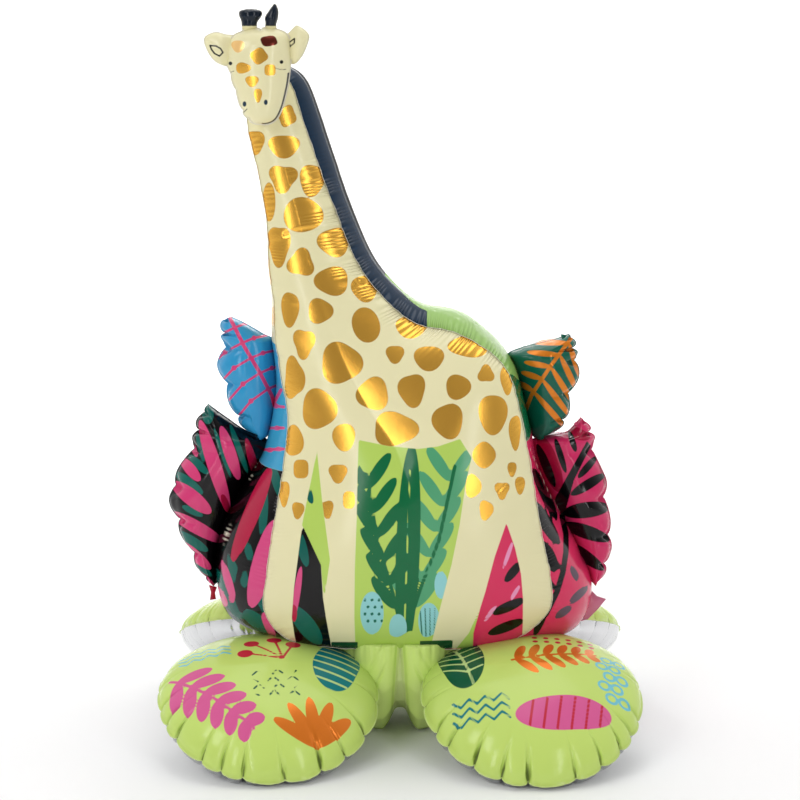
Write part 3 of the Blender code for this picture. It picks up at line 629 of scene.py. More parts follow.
def film_material(name, ground, inks, roughness=0.15, ripple=None):
    """Glossy printed film: each ink covers the ones before it where its field is positive.

    Colour, metal and roughness are mixed by the field mapped from -0.35..0.35 to 0..1. The ground's
    colour and gloss vary a little with noise, and a fine crinkle and the seam ripples raise a bump.
    """
    material = bpy.data.materials.new(name)
    material.use_nodes = True
    tree = material.node_tree
    shader = tree.nodes["Principled BSDF"]
    place = add_node(tree, "TexCoord", {}, "Object")

    def noise(scale, detail):
        return add_node(tree, "TexNoise", {"Scale": scale, "Detail": detail, "Vector": place}, "Fac")

    def mix_colour(factor, first, second):
        return add_node(tree, "Mix", {0: factor, 6: (*first, 1.0) if isinstance(first, tuple) else first,
                                      7: (*second, 1.0)}, 2, data_type="RGBA")

    def mix_number(factor, first, second):
        return add_node(tree, "Mix", {0: factor, 2: first, 3: second}, 0, data_type="FLOAT")

    def field(key):
        return add_node(tree, "Attribute", {}, "Fac", attribute_name=key)

    shade = noise(9.0, 2.0)
    darker = tuple(0.965 * share for share in ground)
    lighter = tuple(min(1.0, 1.035 * share) for share in ground)
    colour = mix_colour(shade, darker, lighter)
    metal = 0.0
    rough = mix_number(shade, 0.85 * roughness, 1.15 * roughness)
    for key, ink_colour, ink_metal, ink_rough in inks:
        ramp = {"Value": field(key), "From Min": -0.35, "From Max": 0.35}
        cover = add_node(tree, "MapRange", ramp, "Result")
        colour = mix_colour(cover, colour, ink_colour)
        metal = mix_number(cover, metal, ink_metal)
        rough = mix_number(cover, rough, ink_rough)
    crinkle = {"Strength": 0.06, "Distance": 0.002, "Height": noise(70.0, 3.0)}
    normal = add_node(tree, "Bump", crinkle, "Normal")
    if ripple:
        wave = add_node(tree, "Math", {0: field("ripple_phase")}, operation="SINE")
        height = add_node(tree, "Math", {0: wave, 1: field("ripple_height")}, operation="MULTIPLY")
        seam_ripple = {"Strength": 1.0, "Distance": ripple, "Height": height, "Normal": normal}
        normal = add_node(tree, "Bump", seam_ripple, "Normal")
    shader.inputs["Specular IOR Level"].default_value = 0.3
    tree.links.new(colour, shader.inputs["Base Color"])
    tree.links.new(rough, shader.inputs["Roughness"])
    tree.links.new(normal, shader.inputs["Normal"])
    if inks:
        tree.links.new(metal, shader.inputs["Metallic"])
    material.diffuse_color = (*ground, 1.0)
    return material


WELD_INK = ink("weld", 226, 220, 200, 0.3)
BODY_INKS = (
    ink("lime", 180, 209, 97), ink("dark", 5, 3, 4, 0.14), ink("magenta", 214, 46, 92, 0.16),
    ink("blue", 60, 158, 200), ink("back_green", 150, 190, 100), ink("mid_green", 81, 159, 115),
    ink("deep_green", 10, 103, 60), ink("pale_blue", 144, 206, 210), ink("dots", 10, 103, 84),
    ink("navy", 10, 40, 64, 0.14), ink("black", 4, 4, 6, 0.14), ink("teal", 7, 92, 82),
    ink("pink", 213, 76, 130), ink("red", 176, 20, 62), ink("dim", 84, 60, 78),
    ink("strokes", 232, 150, 190), ink("hoof", 24, 74, 40, 0.2))
LOBE_INKS = (
    ink("pink", 212, 90, 146, 0.2), ink("teal", 20, 120, 125, 0.2), ink("orange", 222, 120, 34, 0.2, 0.4),
    ink("red", 190, 38, 58, 0.2), ink("green", 10, 84, 54, 0.2), ink("blue", 112, 190, 206, 0.2),
    # the crease ink is painted shade: a darker green line along each rim crease of a lobe
    ink("pale", 190, 214, 140, 0.2), ink("crease", 104, 122, 44, 0.3),
    ("under", (0.74, 0.75, 0.76), 1.0, 0.14), ink("weld", 206, 224, 140, 0.25))
HEAD_INKS = (
    ink("pale_spot", 246, 200, 130, 0.2, 0.3), ink("red", 104, 40, 28, 0.2, 0.6),
    ink("navy", 14, 25, 38, 0.16), ink("black", 14, 18, 22, 0.2), ink("slate", 40, 58, 74, 0.2))


def chosen(key):
    """One of the colours in the sidebar."""
    return tuple(getattr(bpy.context.scene.balloon_colours, key))


# The pieces

def body_curves(samples):
    """The body's edge, ridge line, depths and bulge at the CAD's own scale."""
    return pattern_curves(BODY_PATTERN, BODY_HEIGHT / BODY_DRAFT_HEIGHT,
                          BODY_HALF_DEPTH / BODY_DRAFT_HALF_DEPTH, samples)


def stand_body(grid):
    """The neck's back panel turned to the right, and the whole raised onto the base."""
    neck_half = NECK_DRAFT_HALF_DEPTH * BODY_HALF_DEPTH / BODY_DRAFT_HALF_DEPTH
    turn = NECK_TURN * smooth_step(NECK_TURN_STARTS, NECK_TURN_ENDS, grid[..., 2] / BODY_HEIGHT)
    grid[..., 0] += turn * (grid[..., 1] + neck_half) / (2.0 * neck_half)
    grid[..., 2] += BODY_FLOOR_GAP
    return grid


def strip_rows(edge, weld, bulge, count):
    """Side strip between the seams: the edge moves out by bulge (1 - w^2)^0.8 at share w of the depth."""
    w = np.sin(0.5 * np.pi * np.linspace(-1.0, 1.0, count + 1))[1:-1, None]
    out = edge + outward(edge) * (bulge * (1.0 - w * w) ** 0.8)[:, :, None]
    return np.stack([out[:, :, 0], weld * w, out[:, :, 1]], axis=2), w


def body_side_line(side):
    """Heights and distances of the body's side silhouette."""
    edge, _, _, weld, bulge = body_curves(SIDE_LINE_SAMPLES)
    middle = strip_rows(edge, weld, bulge, 2)[0]
    ring = stand_body(middle)[0]
    samples = len(ring) // 2
    chain = ring[1:samples] if side < 0 else ring[samples + 1:]
    chain = chain[np.argsort(chain[:, 2])]
    return chain[:, 2], chain[:, 0]


def body_prints(grid, place, strip_share):
    """Print fields of the body.

    The place is 0 on the panels, 1 on a fin's panel side, 1.5 at its tip and 2 on the strip.
    """
    sheet = on_sheet(grid)
    z = grid[..., 2]
    column, row = sheet[..., 0], sheet[..., 1]
    panel = np.where(place == 2, -4.0, 4.0)
    strip = -panel
    left = np.where(np.arange(grid.shape[1]) <= grid.shape[1] // 2, 4.0, -4.0) * np.ones(grid.shape[:2])
    right = -left

    lime_wedge = polygon(sheet, LIME_WEDGE)
    belly = polygon(sheet, BELLY)
    dark = polygon(sheet, DARK_LEG_GAP)
    magenta = polygon(sheet, MAGENTA_LEG_GAP)
    mane_line = (-0.5 * (1.0 - smooth_step(0.83, 0.93, z)) - strip_share) * 40.0
    print_end = 634.0 + 3.0 * np.sin(0.21 * column) - row
    art = clipped(belly, panel, print_end)

    def band(low, high):
        return np.minimum(z - low, high - z) / PIXEL

    left_dark = clipped(band(-1.0, BLACK_STRIP_TOP), strip, left)
    left_blue = clipped(band(BLACK_STRIP_TOP, BLUE_STRIP_TOP), strip, left)
    wave = 0.012 * np.sin(40.0 * grid[..., 1])
    right_magenta = clipped(band(-1.0, MAGENTA_STRIP_TOP), strip, right)
    upper_strip = clipped(band(MAGENTA_STRIP_TOP, 3.0), strip, right)
    mane = clipped(band(MANE_FOOT, 3.0), strip, right)
    foot = (404, 640)
    stems = union(stroke(sheet, (foot, (392, 590), (377, 540), (367, 474)), 1.8),
                  stroke(sheet, (foot, (420, 590), (439, 540), (455, 466)), 1.8),
                  clipped(blade(sheet, (404, 654), (412, 443), 12.0),
                          -stroke(sheet, (foot, (410, 470)), 0.9)))
    reach = [0.16 + 0.15 * k for k in range(6)]
    turns = [(t, side) for t in reach for side in (-1, 1)]
    deep = union(stems, *[blade(sheet, (401 - 37 * t, 634 - 160 * t),
                                (401 - 37 * t - side * 23, 604 - 166 * t), 6.0) for t, side in turns])
    mid = union(*[blade(sheet, (407 + 48 * t, 634 - 168 * t),
                        (407 + 48 * t + side * 24, 602 - 172 * t), 6.2) for t, side in turns])
    seams = union(*[stroke(sheet, path, 0.4) for path in STRIP_SEAMS])
    pale = union(spot(sheet, 372, 613, 25, 40, 2, 90, .05), spot(sheet, 429, 621, 23, 34, 2, 90, .05),
                 spot(sheet, 398, 628, 19, 26, 2, 90, .05), spot(sheet, 441, 585, 14, 26, 2, 90, .05))
    dots = [disc(sheet, 365 + 7 * (k % 3) + 3 * (k // 3 % 2), 600 + 7 * (k // 3), 1.7) for k in range(12)]
    dashes = [stroke(sheet, ((420 + 5 * k, 608), (422 + 4 * k, 636)), 0.7) for k in range(4)]
    veins_blue = union(stroke(sheet, BLUE_STRIP_VEINS[0], 1.7),
                       *[stroke(sheet, path, 1.4) for path in BLUE_STRIP_VEINS[1:]],
                       *[disc(sheet, x, y, 2.6) for x, y in BLUE_STRIP_DOTS])
    spots = clipped(union(*[spot(sheet, *values) for values in BODY_SPOTS]), panel, -belly, -lime_wedge)
    strip_spots = clipped(union(*[spot(sheet, *values) for values in STRIP_SPOTS]), strip, left)
    return {
        "lime": clipped(union(lime_wedge, belly, polygon(sheet, LIME_FOOT_GAP)), panel),
        "dark": union(clipped(dark, panel), left_dark),
        "magenta": union(clipped(magenta, panel), right_magenta),
        "blue": left_blue,
        "back_green": upper_strip,
        "deep_green": union(clipped(upper_strip, (GREEN_STRIP_TOP + wave - z) / PIXEL), clipped(deep, art)),
        "mid_green": clipped(mid, art),
        "pale_blue": clipped(pale, art),
        "dots": clipped(union(*dots, *dashes), pale, art),
        "navy": clipped(mane, mane_line, MANE_END_COLUMN - column),
        "black": union(clipped(blades(sheet, LEG_GAP_BLACK), magenta, panel),
                       clipped(union(blades(sheet, PINK_STRIP_BLACK), stroke(sheet, PINK_STRIP_STRIPE, 2.8)),
                               right_magenta),
                       clipped(mane, -mane_line, MANE_BACK_END_COLUMN - column)),
        "teal": union(clipped(blades(sheet, LEG_GAP_TEAL), union(dark, lime_wedge), panel),
                      clipped(blades(sheet, DARK_STRIP_TEAL), left_dark)),
        "pink": union(clipped(blades(sheet, LEG_GAP_PINK), dark, panel),
                      clipped(blades(sheet, DARK_STRIP_PINK), left_dark), clipped(veins_blue, left_blue)),
        "red": union(clipped(blades(sheet, DARK_STRIP_RED), left_dark),
                     clipped(row - 652.0 + 0.3 * (column - 470.0), magenta, panel),
                     clipped(blades(sheet, LEG_GAP_RED), dark, panel)),
        "dim": clipped(blades(sheet, PINK_STRIP_DIM), right_magenta),
        "strokes": clipped(blades(sheet, LEG_GAP_STROKES), magenta, panel),
        "gold": union(spots, strip_spots),
        "hoof": clipped(union(*[polygon(sheet, corners) for corners in HOOVES]), panel),
        "weld": np.where(place == 1.5, 1.0, np.maximum(clipped(seams, strip, np.cos(1.9 * row)), -0.5)),
    }


def build_body(detail, film):
    """The body and neck: two panels, a side strip and a welded fin along both seams."""
    edge, spine, ridge, weld, bulge = body_curves(detail.body_samples)
    front = panel_rows(edge, spine, ridge, weld, detail.body_front_rows, BODY_FULLNESS, -1.0)
    strip, w = strip_rows(edge, weld, bulge, detail.body_strip_rows)
    back = panel_rows(edge, spine, ridge, weld, detail.body_back_rows, BODY_FULLNESS, 1.0)[::-1]
    base = stand_body(np.concatenate([front, strip, back]))
    first, second = len(front) - 1, len(front) + len(strip)
    along, total, dist = seam_measures(base, (first, second))
    normal = grid_normals(base)
    strip_share = np.concatenate([np.full(len(front), -1.0), w[:, 0], np.full(len(back), 1.0)])[:, None]
    strip_share = strip_share * np.ones(base.shape[1])

    lean = 0.35 * waves(along, total, 3, 4, 30)
    shifted = along + lean * dist
    on_panel = np.abs(strip_share) >= 1.0
    calm = np.where(on_panel, 1.0, 0.5)
    share, strength = notch_shares(shifted, total, film.crease_spacing, 11)
    move = pucker(share, strength, dist, film.crease_depth * calm, 0.022)
    share, strength = notch_shares(shifted, total, 4.0 * film.crease_spacing, 12)
    move += pucker(share, strength, dist, 0.9 * film.crease_depth * calm, 0.06)
    sheet = on_sheet(base)
    for path, depth in PANEL_FOLDS:
        near = -stroke(sheet, path, 0.0)
        move -= np.where(on_panel, depth * np.exp(-(near / 2.0) ** 2), 0.0)
    right_side = np.arange(base.shape[1]) > base.shape[1] // 2
    mane_fold = np.exp(-(strip_share / 0.16) ** 2) * smooth_step(0.84, 0.9, base[..., 2])
    move -= 0.006 * mane_fold * right_side * ~on_panel
    move += film.swell * undulation(base, 0.16, 5) * smooth_step(0.0, 0.05, dist)
    mirror = -np.arange(base.shape[1])
    for row in (0, -1):
        move[row] = 0.5 * (move[row] + move[row, mirror])
        normal[row] = 0.5 * (normal[row] + normal[row, mirror])
    base = base + normal * move[:, :, None]

    plane = outward(edge)
    rows, places, shares, dists, phases = [], [], [], [], []
    phase = 2.0 * np.pi * (along / 0.0095 + 1.2 * waves(along, total, 9, 8, 60))

    def add(part, place, share, distance):
        rows.append(part)
        places.append(np.broadcast_to(place, part.shape[:2]))
        shares.append(np.broadcast_to(share, part.shape[:2]))
        dists.append(np.broadcast_to(distance, part.shape[:2]))
        phases.append(np.broadcast_to(phase, part.shape[:2]))

    length = film.fin_length * (0.75 + 0.35 * waves(along, total, 21, 20, 90))
    crinkle = 0.0007 * waves(along, total, 22, 60, 200)
    tips = np.array([1.0, 1.5, 1.5, 2.0])[:, None]
    for side, row in ((-1.0, first), (1.0, second)):
        direction = np.stack([plane[:, 0], np.full(len(plane), side * 0.9), plane[:, 1]], axis=1)
        direction /= np.linalg.norm(direction, axis=1, keepdims=True)
        if side < 0:
            add(base[:first + 1], 0, -1.0, dist[:first + 1])
            add(fin_rows(base[row], direction, length, film.thickness, crinkle), tips, -1.0, 0.0)
            add((base[row] + 0.3 * (base[row + 1] - base[row]))[None], 2, strip_share[row + 1], 0.0006)
            add(base[first + 1:second], 2, strip_share[first + 1:second], dist[first + 1:second])
        else:
            add((base[row] + 0.3 * (base[row - 1] - base[row]))[None], 2, strip_share[row - 1], 0.0006)
            add(fin_rows(base[row], direction, length, film.thickness, -crinkle), tips[::-1], 1.0, 0.0)
            add(base[second:], 0, 1.0, dist[second:])
    grid = np.concatenate(rows)
    place, share, dist = np.concatenate(places), np.concatenate(shares), np.concatenate(dists)
    fields = body_prints(grid, place, share)
    sheet = on_sheet(grid)
    neck = smooth_step(150, 190, sheet[..., 1]) * (1.0 - smooth_step(335, 400, sheet[..., 1]))
    fields["ripple_phase"] = np.concatenate(phases)
    fields["ripple_height"] = (neck * right_side * np.exp(-dist / 0.02)
                               + 0.25 * np.exp(-dist / 0.012)) * np.isin(place, (0.0, 2.0))
    inks = (*BODY_INKS, ("gold", chosen("gold"), 0.8, 0.25), WELD_INK)
    material = film_material("giraffe_body_film", chosen("cream"), inks, 0.19, 0.0016)
    return new_piece("body_film", grid, fields, material, "giraffe_body")


def build_tab(film, name, corners, ground):
    """A loose corner of welded film: a thin prism over corners given on the sheet."""
    outline = np.array([from_sheet(column, row, 0.0) for column, row in corners])
    count = len(outline)
    half = np.array([0.0, 0.5 * film.thickness, 0.0])
    middle = outline.mean(axis=0)
    points = np.vstack([outline - half, outline + half, middle - 3.0 * half, middle + 3.0 * half])
    here = np.arange(count)
    after = (here + 1) % count
    walls = np.concatenate([np.stack([here, after, after + count], axis=1),
                            np.stack([here, after + count, here + count], axis=1),
                            np.stack([after, here, np.full(count, 2 * count)], axis=1),
                            np.stack([here + count, after + count, np.full(count, 2 * count + 1)], axis=1)])
    material = film_material(name + "_film", ground, (), 0.14)
    return mesh_piece(name, points, walls, {}, material, "giraffe_body")


def flanged_rows(edge, spine, ridge, front_count, back_count, film, flange, notch, grip, along, total,
                 dent, seed):
    """Two-panel pillow with a flat weld flange at its outline, and each row's film length to the flange.

    The panels end at the flange's inner line, the flange reaches the outline less the notches, and
    dent(dist) is added along the normals.
    """
    way = np.maximum(np.linalg.norm(spine - edge, axis=1), 1e-6)
    inset = np.minimum(flange / way, 0.3)[:, None]
    inner = edge + (spine - edge) * inset
    half = np.full(len(edge), 0.5 * film.thickness)
    cut = np.minimum(notch / way, 0.5)
    front = panel_rows(inner, spine, ridge, half, front_count, PILLOW_FULLNESS, -1.0, cut, grip)
    back = panel_rows(inner, spine, ridge, half, back_count, PILLOW_FULLNESS, 1.0, cut, grip)[::-1]
    base = np.concatenate([front, back])
    seam = len(front) - 1
    step = np.linalg.norm(np.diff(base, axis=0), axis=2)
    down = np.vstack([np.zeros(base.shape[1]), np.cumsum(step, axis=0)])
    dist = np.minimum(np.abs(down - down[seam]), np.abs(down - down[seam + 1]))
    row_way = np.gradient(base[:seam + 1], axis=0), np.gradient(base[seam + 1:], axis=0)
    round_way = np.roll(base, -1, axis=1) - np.roll(base, 1, axis=1)
    normal = np.cross(np.concatenate(row_way), round_way)
    normal /= np.maximum(np.linalg.norm(normal, axis=2, keepdims=True), 1e-12)
    move = dent(base, dist)
    keep = np.concatenate([smooth_step(0.0, 4.0, np.arange(seam + 1.0)),
                           smooth_step(0.0, 4.0, np.arange(len(base) - seam - 1.0))[::-1]])[:, None]
    inside = np.concatenate([smooth_step(0.0, 2.0, seam - np.arange(seam + 1.0)),
                             smooth_step(0.0, 2.0, np.arange(len(base) - seam - 1.0))])[:, None]
    base = base + normal * (move * keep * inside)[:, :, None]
    limit = half[None, :]
    base[:seam + 1, :, 1] = np.minimum(base[:seam + 1, :, 1], -limit)
    base[seam + 1:, :, 1] = np.maximum(base[seam + 1:, :, 1], limit)
    crinkle = 0.0012 * waves(along, total, seed, 30, 120)
    rim = []
    for share, face in ((0.5, -1.0), (1.0, -1.0), (1.0, 1.0), (0.5, 1.0)):
        flat = inner + (edge - inner) * share
        flat = spine + (flat - spine) * (1.0 - cut[:, None])
        rim.append(np.stack([flat[:, 0], 0.5 * film.thickness * face + crinkle * share, flat[:, 1]], axis=1))
    grid = np.concatenate([base[:seam + 1], np.array(rim), base[seam + 1:]])
    dist = np.concatenate([dist[:seam + 1], np.zeros((4, base.shape[1])), dist[seam + 1:]])
    place = np.concatenate([np.zeros(seam + 1), np.ones(4), np.full(len(base) - seam - 1, 2.0)])
    place = place[:, None] * np.ones(base.shape[1])
    return grid, dist, place


def weld_field(dist, place):
    """Field of the pale weld edge, positive on the flange."""
    return np.where(place == 1.0, 1.0, np.minimum(-0.3, -dist / PIXEL))


def lobe_prints(sheet, design):
    """Sprigs, ovals, fans, waves and dots on a lobe, on its own sheet in centimetres, as fields in pixels."""
    inked = ("pink", "teal", "pale", "orange", "red", "green", "blue")
    made = {key: np.full(sheet.shape[:-1], -4.0) for key in inked}

    def zigzag(left, top, teeth, width, height, rows, drop):
        lines = [[(left + width * k, top - drop * n + height * (-1) ** k) for k in range(teeth)]
                 for n in range(rows)]
        return union(*[stroke(sheet, line, 0.24) for line in lines])

    if design == "left":
        stem = ((-19.0, 1.5), (-4.0, -14.5))
        made["pink"] = union(stroke(sheet, stem, 0.3), veins(sheet, *stem, 6, 6.6, 1.3, 50, 0.1, 0.9))
        made["teal"] = spot(sheet, 13.0, 1.5, 10.0, 14.0, 2, 60, .14)
        made["pale"] = clipped(union(*[stroke(sheet, ((4.5, 9.5 - 2.3 * k), (20.5, 4.5 - 2.3 * k)), 0.26)
                                       for k in range(7)]), made["teal"])
        made["orange"] = fan(sheet, (7.5, -17.5), 5, 9.0, 1.2, 40, 150)
        berries = ((-3.0, 8.0), (1.5, 9.4), (5.0, 7.0), (-4.5, 3.8))
        made["red"] = union(*[disc(sheet, x, y, 1.5) for x, y in berries],
                            *[stroke(sheet, ((x, y), (2.5, 1.0)), 0.24) for x, y in berries])
        made["green"] = union(*[stroke(sheet, ((x, y), (x + 0.7 * (-1) ** k, y + 0.7)), 0.2) for k, (x, y) in
                                enumerate([(-3.5 + 1.9 * (k % 5) + 0.9 * (k // 5 % 2), -3.0 - 1.7 * (k // 5))
                                           for k in range(20)])])
        made["blue"] = zigzag(-17.0, 8.5, 8, 1.4, 0.6, 3, 1.7)
    elif design == "right":
        stem = ((-4.0, 1.0), (12.5, 5.0))
        made["green"] = spot(sheet, -13.5, 5.0, 9.5, 17.0, 2, 110, .12)
        side_lines = [((-14.6 + 0.5 * k, 9.4 - 2.5 * k), (-13.4 + 0.5 * k + 6 * side, 12.2 - 2.5 * k))
                      for k in range(5) for side in (-1, 1)]
        made["pale"] = clipped(union(stroke(sheet, ((-15.5, 14.0), (-11.5, -4.0)), 0.26),
                                     *[stroke(sheet, line, 0.22) for line in side_lines]), made["green"])
        made["orange"] = union(stroke(sheet, stem, 0.3), veins(sheet, *stem, 6, 5.6, 0.9, 58, 0.05, 0.9))
        made["pink"] = spot(sheet, 5.0, -11.5, 16.0, 8.0, 2, 20, .12)
        bars = union(*[stroke(sheet, ((-2.0 + 2.6 * k, -17.0), (2.6 * k, -6.0)), 0.24) for k in range(6)])
        dots = union(*[disc(sheet, 1.0 + 2.2 * (k % 6), 10.6 - 2.0 * (k // 6), 0.6) for k in range(12)])
        made["red"] = union(clipped(bars, made["pink"]), dots)
        made["teal"] = zigzag(-15.5, -8.0, 8, 1.5, 0.7, 3, 1.9)
        rings = [(14.5 + 2.5 * (k % 2) - 1.2 * (k // 2 % 2), 4.0 - 2.7 * (k // 2)) for k in range(10)]
        made["blue"] = union(*[clipped(disc(sheet, x, y, 1.3), -disc(sheet, x, y, 0.75)) for x, y in rings])
    else:
        made["green"] = union(stroke(sheet, ((-9.0, 6.0), (8.0, -6.0)), 0.3),
                              veins(sheet, (-9.0, 6.0), (8.0, -6.0), 6, 5.4, 1.2, 55))
    return {key: CENTIMETRE_PIXELS * value for key, value in made.items()}


def build_lobe(detail, film, name, side_x, side_y, half_length, turn, dip, design, seed):
    """A base lobe: a scalloped disc with its low rim on the floor, printed above and silver below, with
    painted shade in thin lines along its rim creases.
    """
    around = detail.lobe_samples
    angle = np.linspace(0.0, 2.0 * np.pi, around, endpoint=False)
    ellipse = np.stack([-LOBE_HALF_WIDTH * np.sin(angle), half_length * np.cos(angle)], axis=1)
    along, total = loop_lengths(ellipse)
    low_side = 0.35 + 0.65 * smooth_step(-0.2, 0.5, -np.cos(angle))
    share, strength = notch_shares(along, total, film.notch_spacing, seed)
    notch = low_side * (0.4 + 0.6 * strength) * (1.0 - np.maximum(4.0 * share * (1.0 - share), 0.0) ** 0.4)
    spine = np.zeros_like(ellipse)
    ridge = np.full(around, LOBE_HALF_THICKNESS)
    back = side_y > 0

    def dent(base, dist):
        lean = 0.3 * waves(along, total, seed + 1, 5, 25)
        wide, wide_strength = notch_shares(along + lean * dist, total, film.notch_spacing, seed)
        fine, fine_strength = notch_shares(along + lean * dist, total, 0.021, seed + 2)
        crease = groove(wide, film.notch_spacing, 0.003) * np.exp(-(dist / 0.05) ** 2)
        return (-0.010 * low_side * (0.4 + 0.6 * wide_strength) * crease
                + pucker(wide, low_side * wide_strength, dist, 0.0025, 0.02)
                + pucker(fine, fine_strength, dist, 0.007 if back else 0.0022, 0.035 if back else 0.012)
                + film.swell * undulation(base, 0.13, seed + 3) * smooth_step(0.0, 0.05, dist))

    local, dist, place = flanged_rows(
        ellipse, spine, ridge, detail.lobe_front_rows, detail.lobe_back_rows, film, film.flange,
        film.scallop_depth * notch, 8.0, along, total, dent, seed + 4)
    across, through, up_slope = local[..., 0], local[..., 1], local[..., 2]
    droop = LOBE_RIM_DROOP * np.clip(-up_slope / half_length, 0.0, 1.0) ** 3
    droop = droop + dip * np.clip(up_slope / half_length, 0.0, 1.0) ** FRONT_LOBE_BEND
    run = up_slope * math.cos(LOBE_TILT) + through * math.sin(LOBE_TILT)
    height = up_slope * math.sin(LOBE_TILT) - through * math.cos(LOBE_TILT) - droop
    aside = across * math.cos(turn) + run * math.sin(turn)
    inward = run * math.cos(turn) - across * math.sin(turn)
    y = side_y * np.maximum(half_length * math.cos(LOBE_TILT) - LOBE_PRESS - inward, 0.5 * TOUCH_GAP)
    z = np.maximum(height - height.min() - LOBE_SINK, 0.0)
    grid = np.stack([side_x * (LOBE_CENTRE_X + aside), y, z], axis=2)
    fields = lobe_prints(np.stack([side_x * across, up_slope], axis=2) * 100.0, design)
    fields = {key: np.where(place == 0.0, value, -2.0) for key, value in fields.items()}
    # Painted shade in the rim creases: a thin darker line from each wide notch inward, narrowing until its
    # reach.
    lean = 0.3 * waves(along, total, seed + 1, 5, 25)
    wide, wide_strength = notch_shares(along + lean * dist, total, film.notch_spacing, seed)
    off = film.notch_spacing * np.minimum(wide, 1.0 - wide)
    reach = 0.012 + 0.055 * low_side * wide_strength
    fields["crease"] = np.where(place < 2.0, (0.0018 * (1.0 - dist / reach) - off) / PIXEL, -2.0)
    fields["under"] = np.where(place == 2.0, 2.0, -2.0)
    fields["weld"] = weld_field(dist, place)
    material = film_material(name + "_film", chosen("lime"), LOBE_INKS, 0.16)
    return new_piece(name + "_film", grid, fields, material, name)


def build_lobes(detail, film):
    """The four lobes: opposite ones are alike."""
    seed = 40
    for end, side_y, dip in (("front", -1, FRONT_LOBE_DIP), ("back", 1, 0.0)):
        for side, side_x in (("left", -1), ("right", 1)):
            short = side_x == side_y
            build_lobe(detail, film, "lobe_%s_%s" % (end, side), side_x, side_y,
                       SHORT_LOBE_HALF_LENGTH if short else LONG_LOBE_HALF_LENGTH,
                       SHORT_LOBE_TURN if short else LONG_LOBE_TURN, dip,
                       side if end == "front" else "back", seed)
            seed += 10


def build_leaf(detail, film, name, pattern, scale, foot, side, ground, inks, draw, slot_name, seed):
    """A leaf pillow against the body's side line, with scallops 1 - |cos|^0.6 deep at its outer edge."""
    rows = np.array(pattern)
    samples = detail.leaf_samples
    at = np.linspace(0.0, len(rows) - 1.0, samples + 1)
    read = eased_curve(rows, at) * scale
    heights = foot + read[:, 0]
    line_z, line_x = body_side_line(side)
    joined = rows[(rows[:, 1] == 0.0), 0].max() * scale
    line = np.interp(np.minimum(heights, foot + joined), line_z, line_x) - side * LEAF_SINK
    inner = np.stack([line + side * read[:, 1], heights], axis=1)
    wave = np.abs(np.cos(np.pi * at * LEAF_SCALLOPS_PER_ROW)) ** 0.6
    ripple = 1.0 - wave
    ripple[0] = ripple[-1] = 0.0
    wide = read[:, 2] - read[:, 1]
    cut = LEAF_SCALLOP * ripple * np.minimum(1.0, wide / LEAF_HALF_THICKNESS)
    outer = np.stack([line + side * read[:, 2], heights], axis=1)
    left, right = (outer, inner) if side < 0 else (inner, outer)
    notch = np.concatenate([cut, 0.0 * cut[-2:0:-1]] if side < 0 else [0.0 * cut, cut[-2:0:-1]])
    edge = np.vstack([left, right[-2:0:-1]])
    middle = 0.5 * (inner + outer)
    spine = np.vstack([middle, middle[-2:0:-1]])
    plump = WELD_HALF + LEAF_HALF_THICKNESS * np.sqrt(np.maximum(wide, 0.0) / (LEAF_DRAFT_WIDTH * scale))
    ridge = np.concatenate([plump, plump[-2:0:-1]])
    along, total = loop_lengths(edge)
    lumps = 1.0 - np.abs(np.cos(np.pi * at * LEAF_SCALLOPS_PER_ROW))
    lumps = np.concatenate([lumps, 0.0 * lumps[-2:0:-1]] if side < 0 else [0.0 * lumps, lumps[-2:0:-1]]) ** 2

    def dent(base, dist):
        fine, fine_strength = notch_shares(along + 0.2 * dist, total, 0.02, seed)
        return (-0.026 * lumps * np.exp(-dist / 0.03) + pucker(fine, fine_strength, dist, 0.003, 0.014)
                + 2.6 * film.swell * undulation(base, 0.07, seed + 1) * smooth_step(0.0, 0.03, dist))

    grid, dist, place = flanged_rows(edge, spine, ridge, detail.leaf_front_rows, detail.leaf_back_rows, film,
                                     0.9 * film.flange, notch, 5.0, along, total, dent, seed + 2)
    fields = draw(on_sheet(grid))
    fields["weld"] = weld_field(dist, place)
    weld = ("weld", tuple(0.8 * c + 0.06 for c in ground), 0.0, 0.25)
    material = film_material(name + "_film", ground, inks + (weld,), 0.16)
    return new_piece(name + "_film", grid, fields, material, name)


def draw_upper_left(sheet):
    """Blue leaf: a pink midrib with slanting side veins and dots on them."""
    rib = ((229, 316), (244, 346), (260, 373), (272, 396), (280, 424))
    side = []
    dots = []
    for k, (x, y) in enumerate(((234, 328), (242, 343), (251, 358), (260, 373), (268, 389))):
        side += [stroke(sheet, ((x, y), (x - 17, y + 8 + k), (x - 32, y + 22 + 2 * k)), 1.2),
                 stroke(sheet, ((x, y), (x + 12, y - 5), (x + 26, y - 8)), 1.2)]
        dots += [disc(sheet, x - 17, y + 8 + k, 2.6), disc(sheet, x + 12, y - 5, 2.4)]
    return {"pink": union(stroke(sheet, rib, 1.9), *side, *dots)}


def draw_lower_left(sheet):
    """Black leaf with a pink midrib, and pink and teal blades in turn on both sides."""
    pink = blades(sheet, ((200, 420, 229, 512, 7), (191, 442, 197, 457, 2.6), (181, 458, 200, 481, 5.5),
                          (172, 482, 211, 513, 8), (169, 512, 223, 542, 6.5), (178, 541, 211, 569, 5.5),
                          (189, 568, 216, 590, 5), (221, 426, 239, 480, 6)))
    teal = union(blades(sheet, ((197, 433, 204, 462, 3), (189, 455, 208, 474, 4), (175, 472, 203, 494, 5),
                                (182, 506, 203, 516, 3.5), (175, 531, 208, 551, 5), (186, 556, 212, 576, 3.5),
                                (230, 424, 248, 474, 3), (214, 428, 231, 478, 2.4), (206, 588, 222, 600, 3))),
                 spot(sheet, 208, 413, 13, 20, 2, 90, .08))
    red = blades(sheet, ((246, 438, 261, 490, 4.2), (222, 494, 229, 513, 3.4)))
    return {"teal": teal, "pink": pink, "red": red}


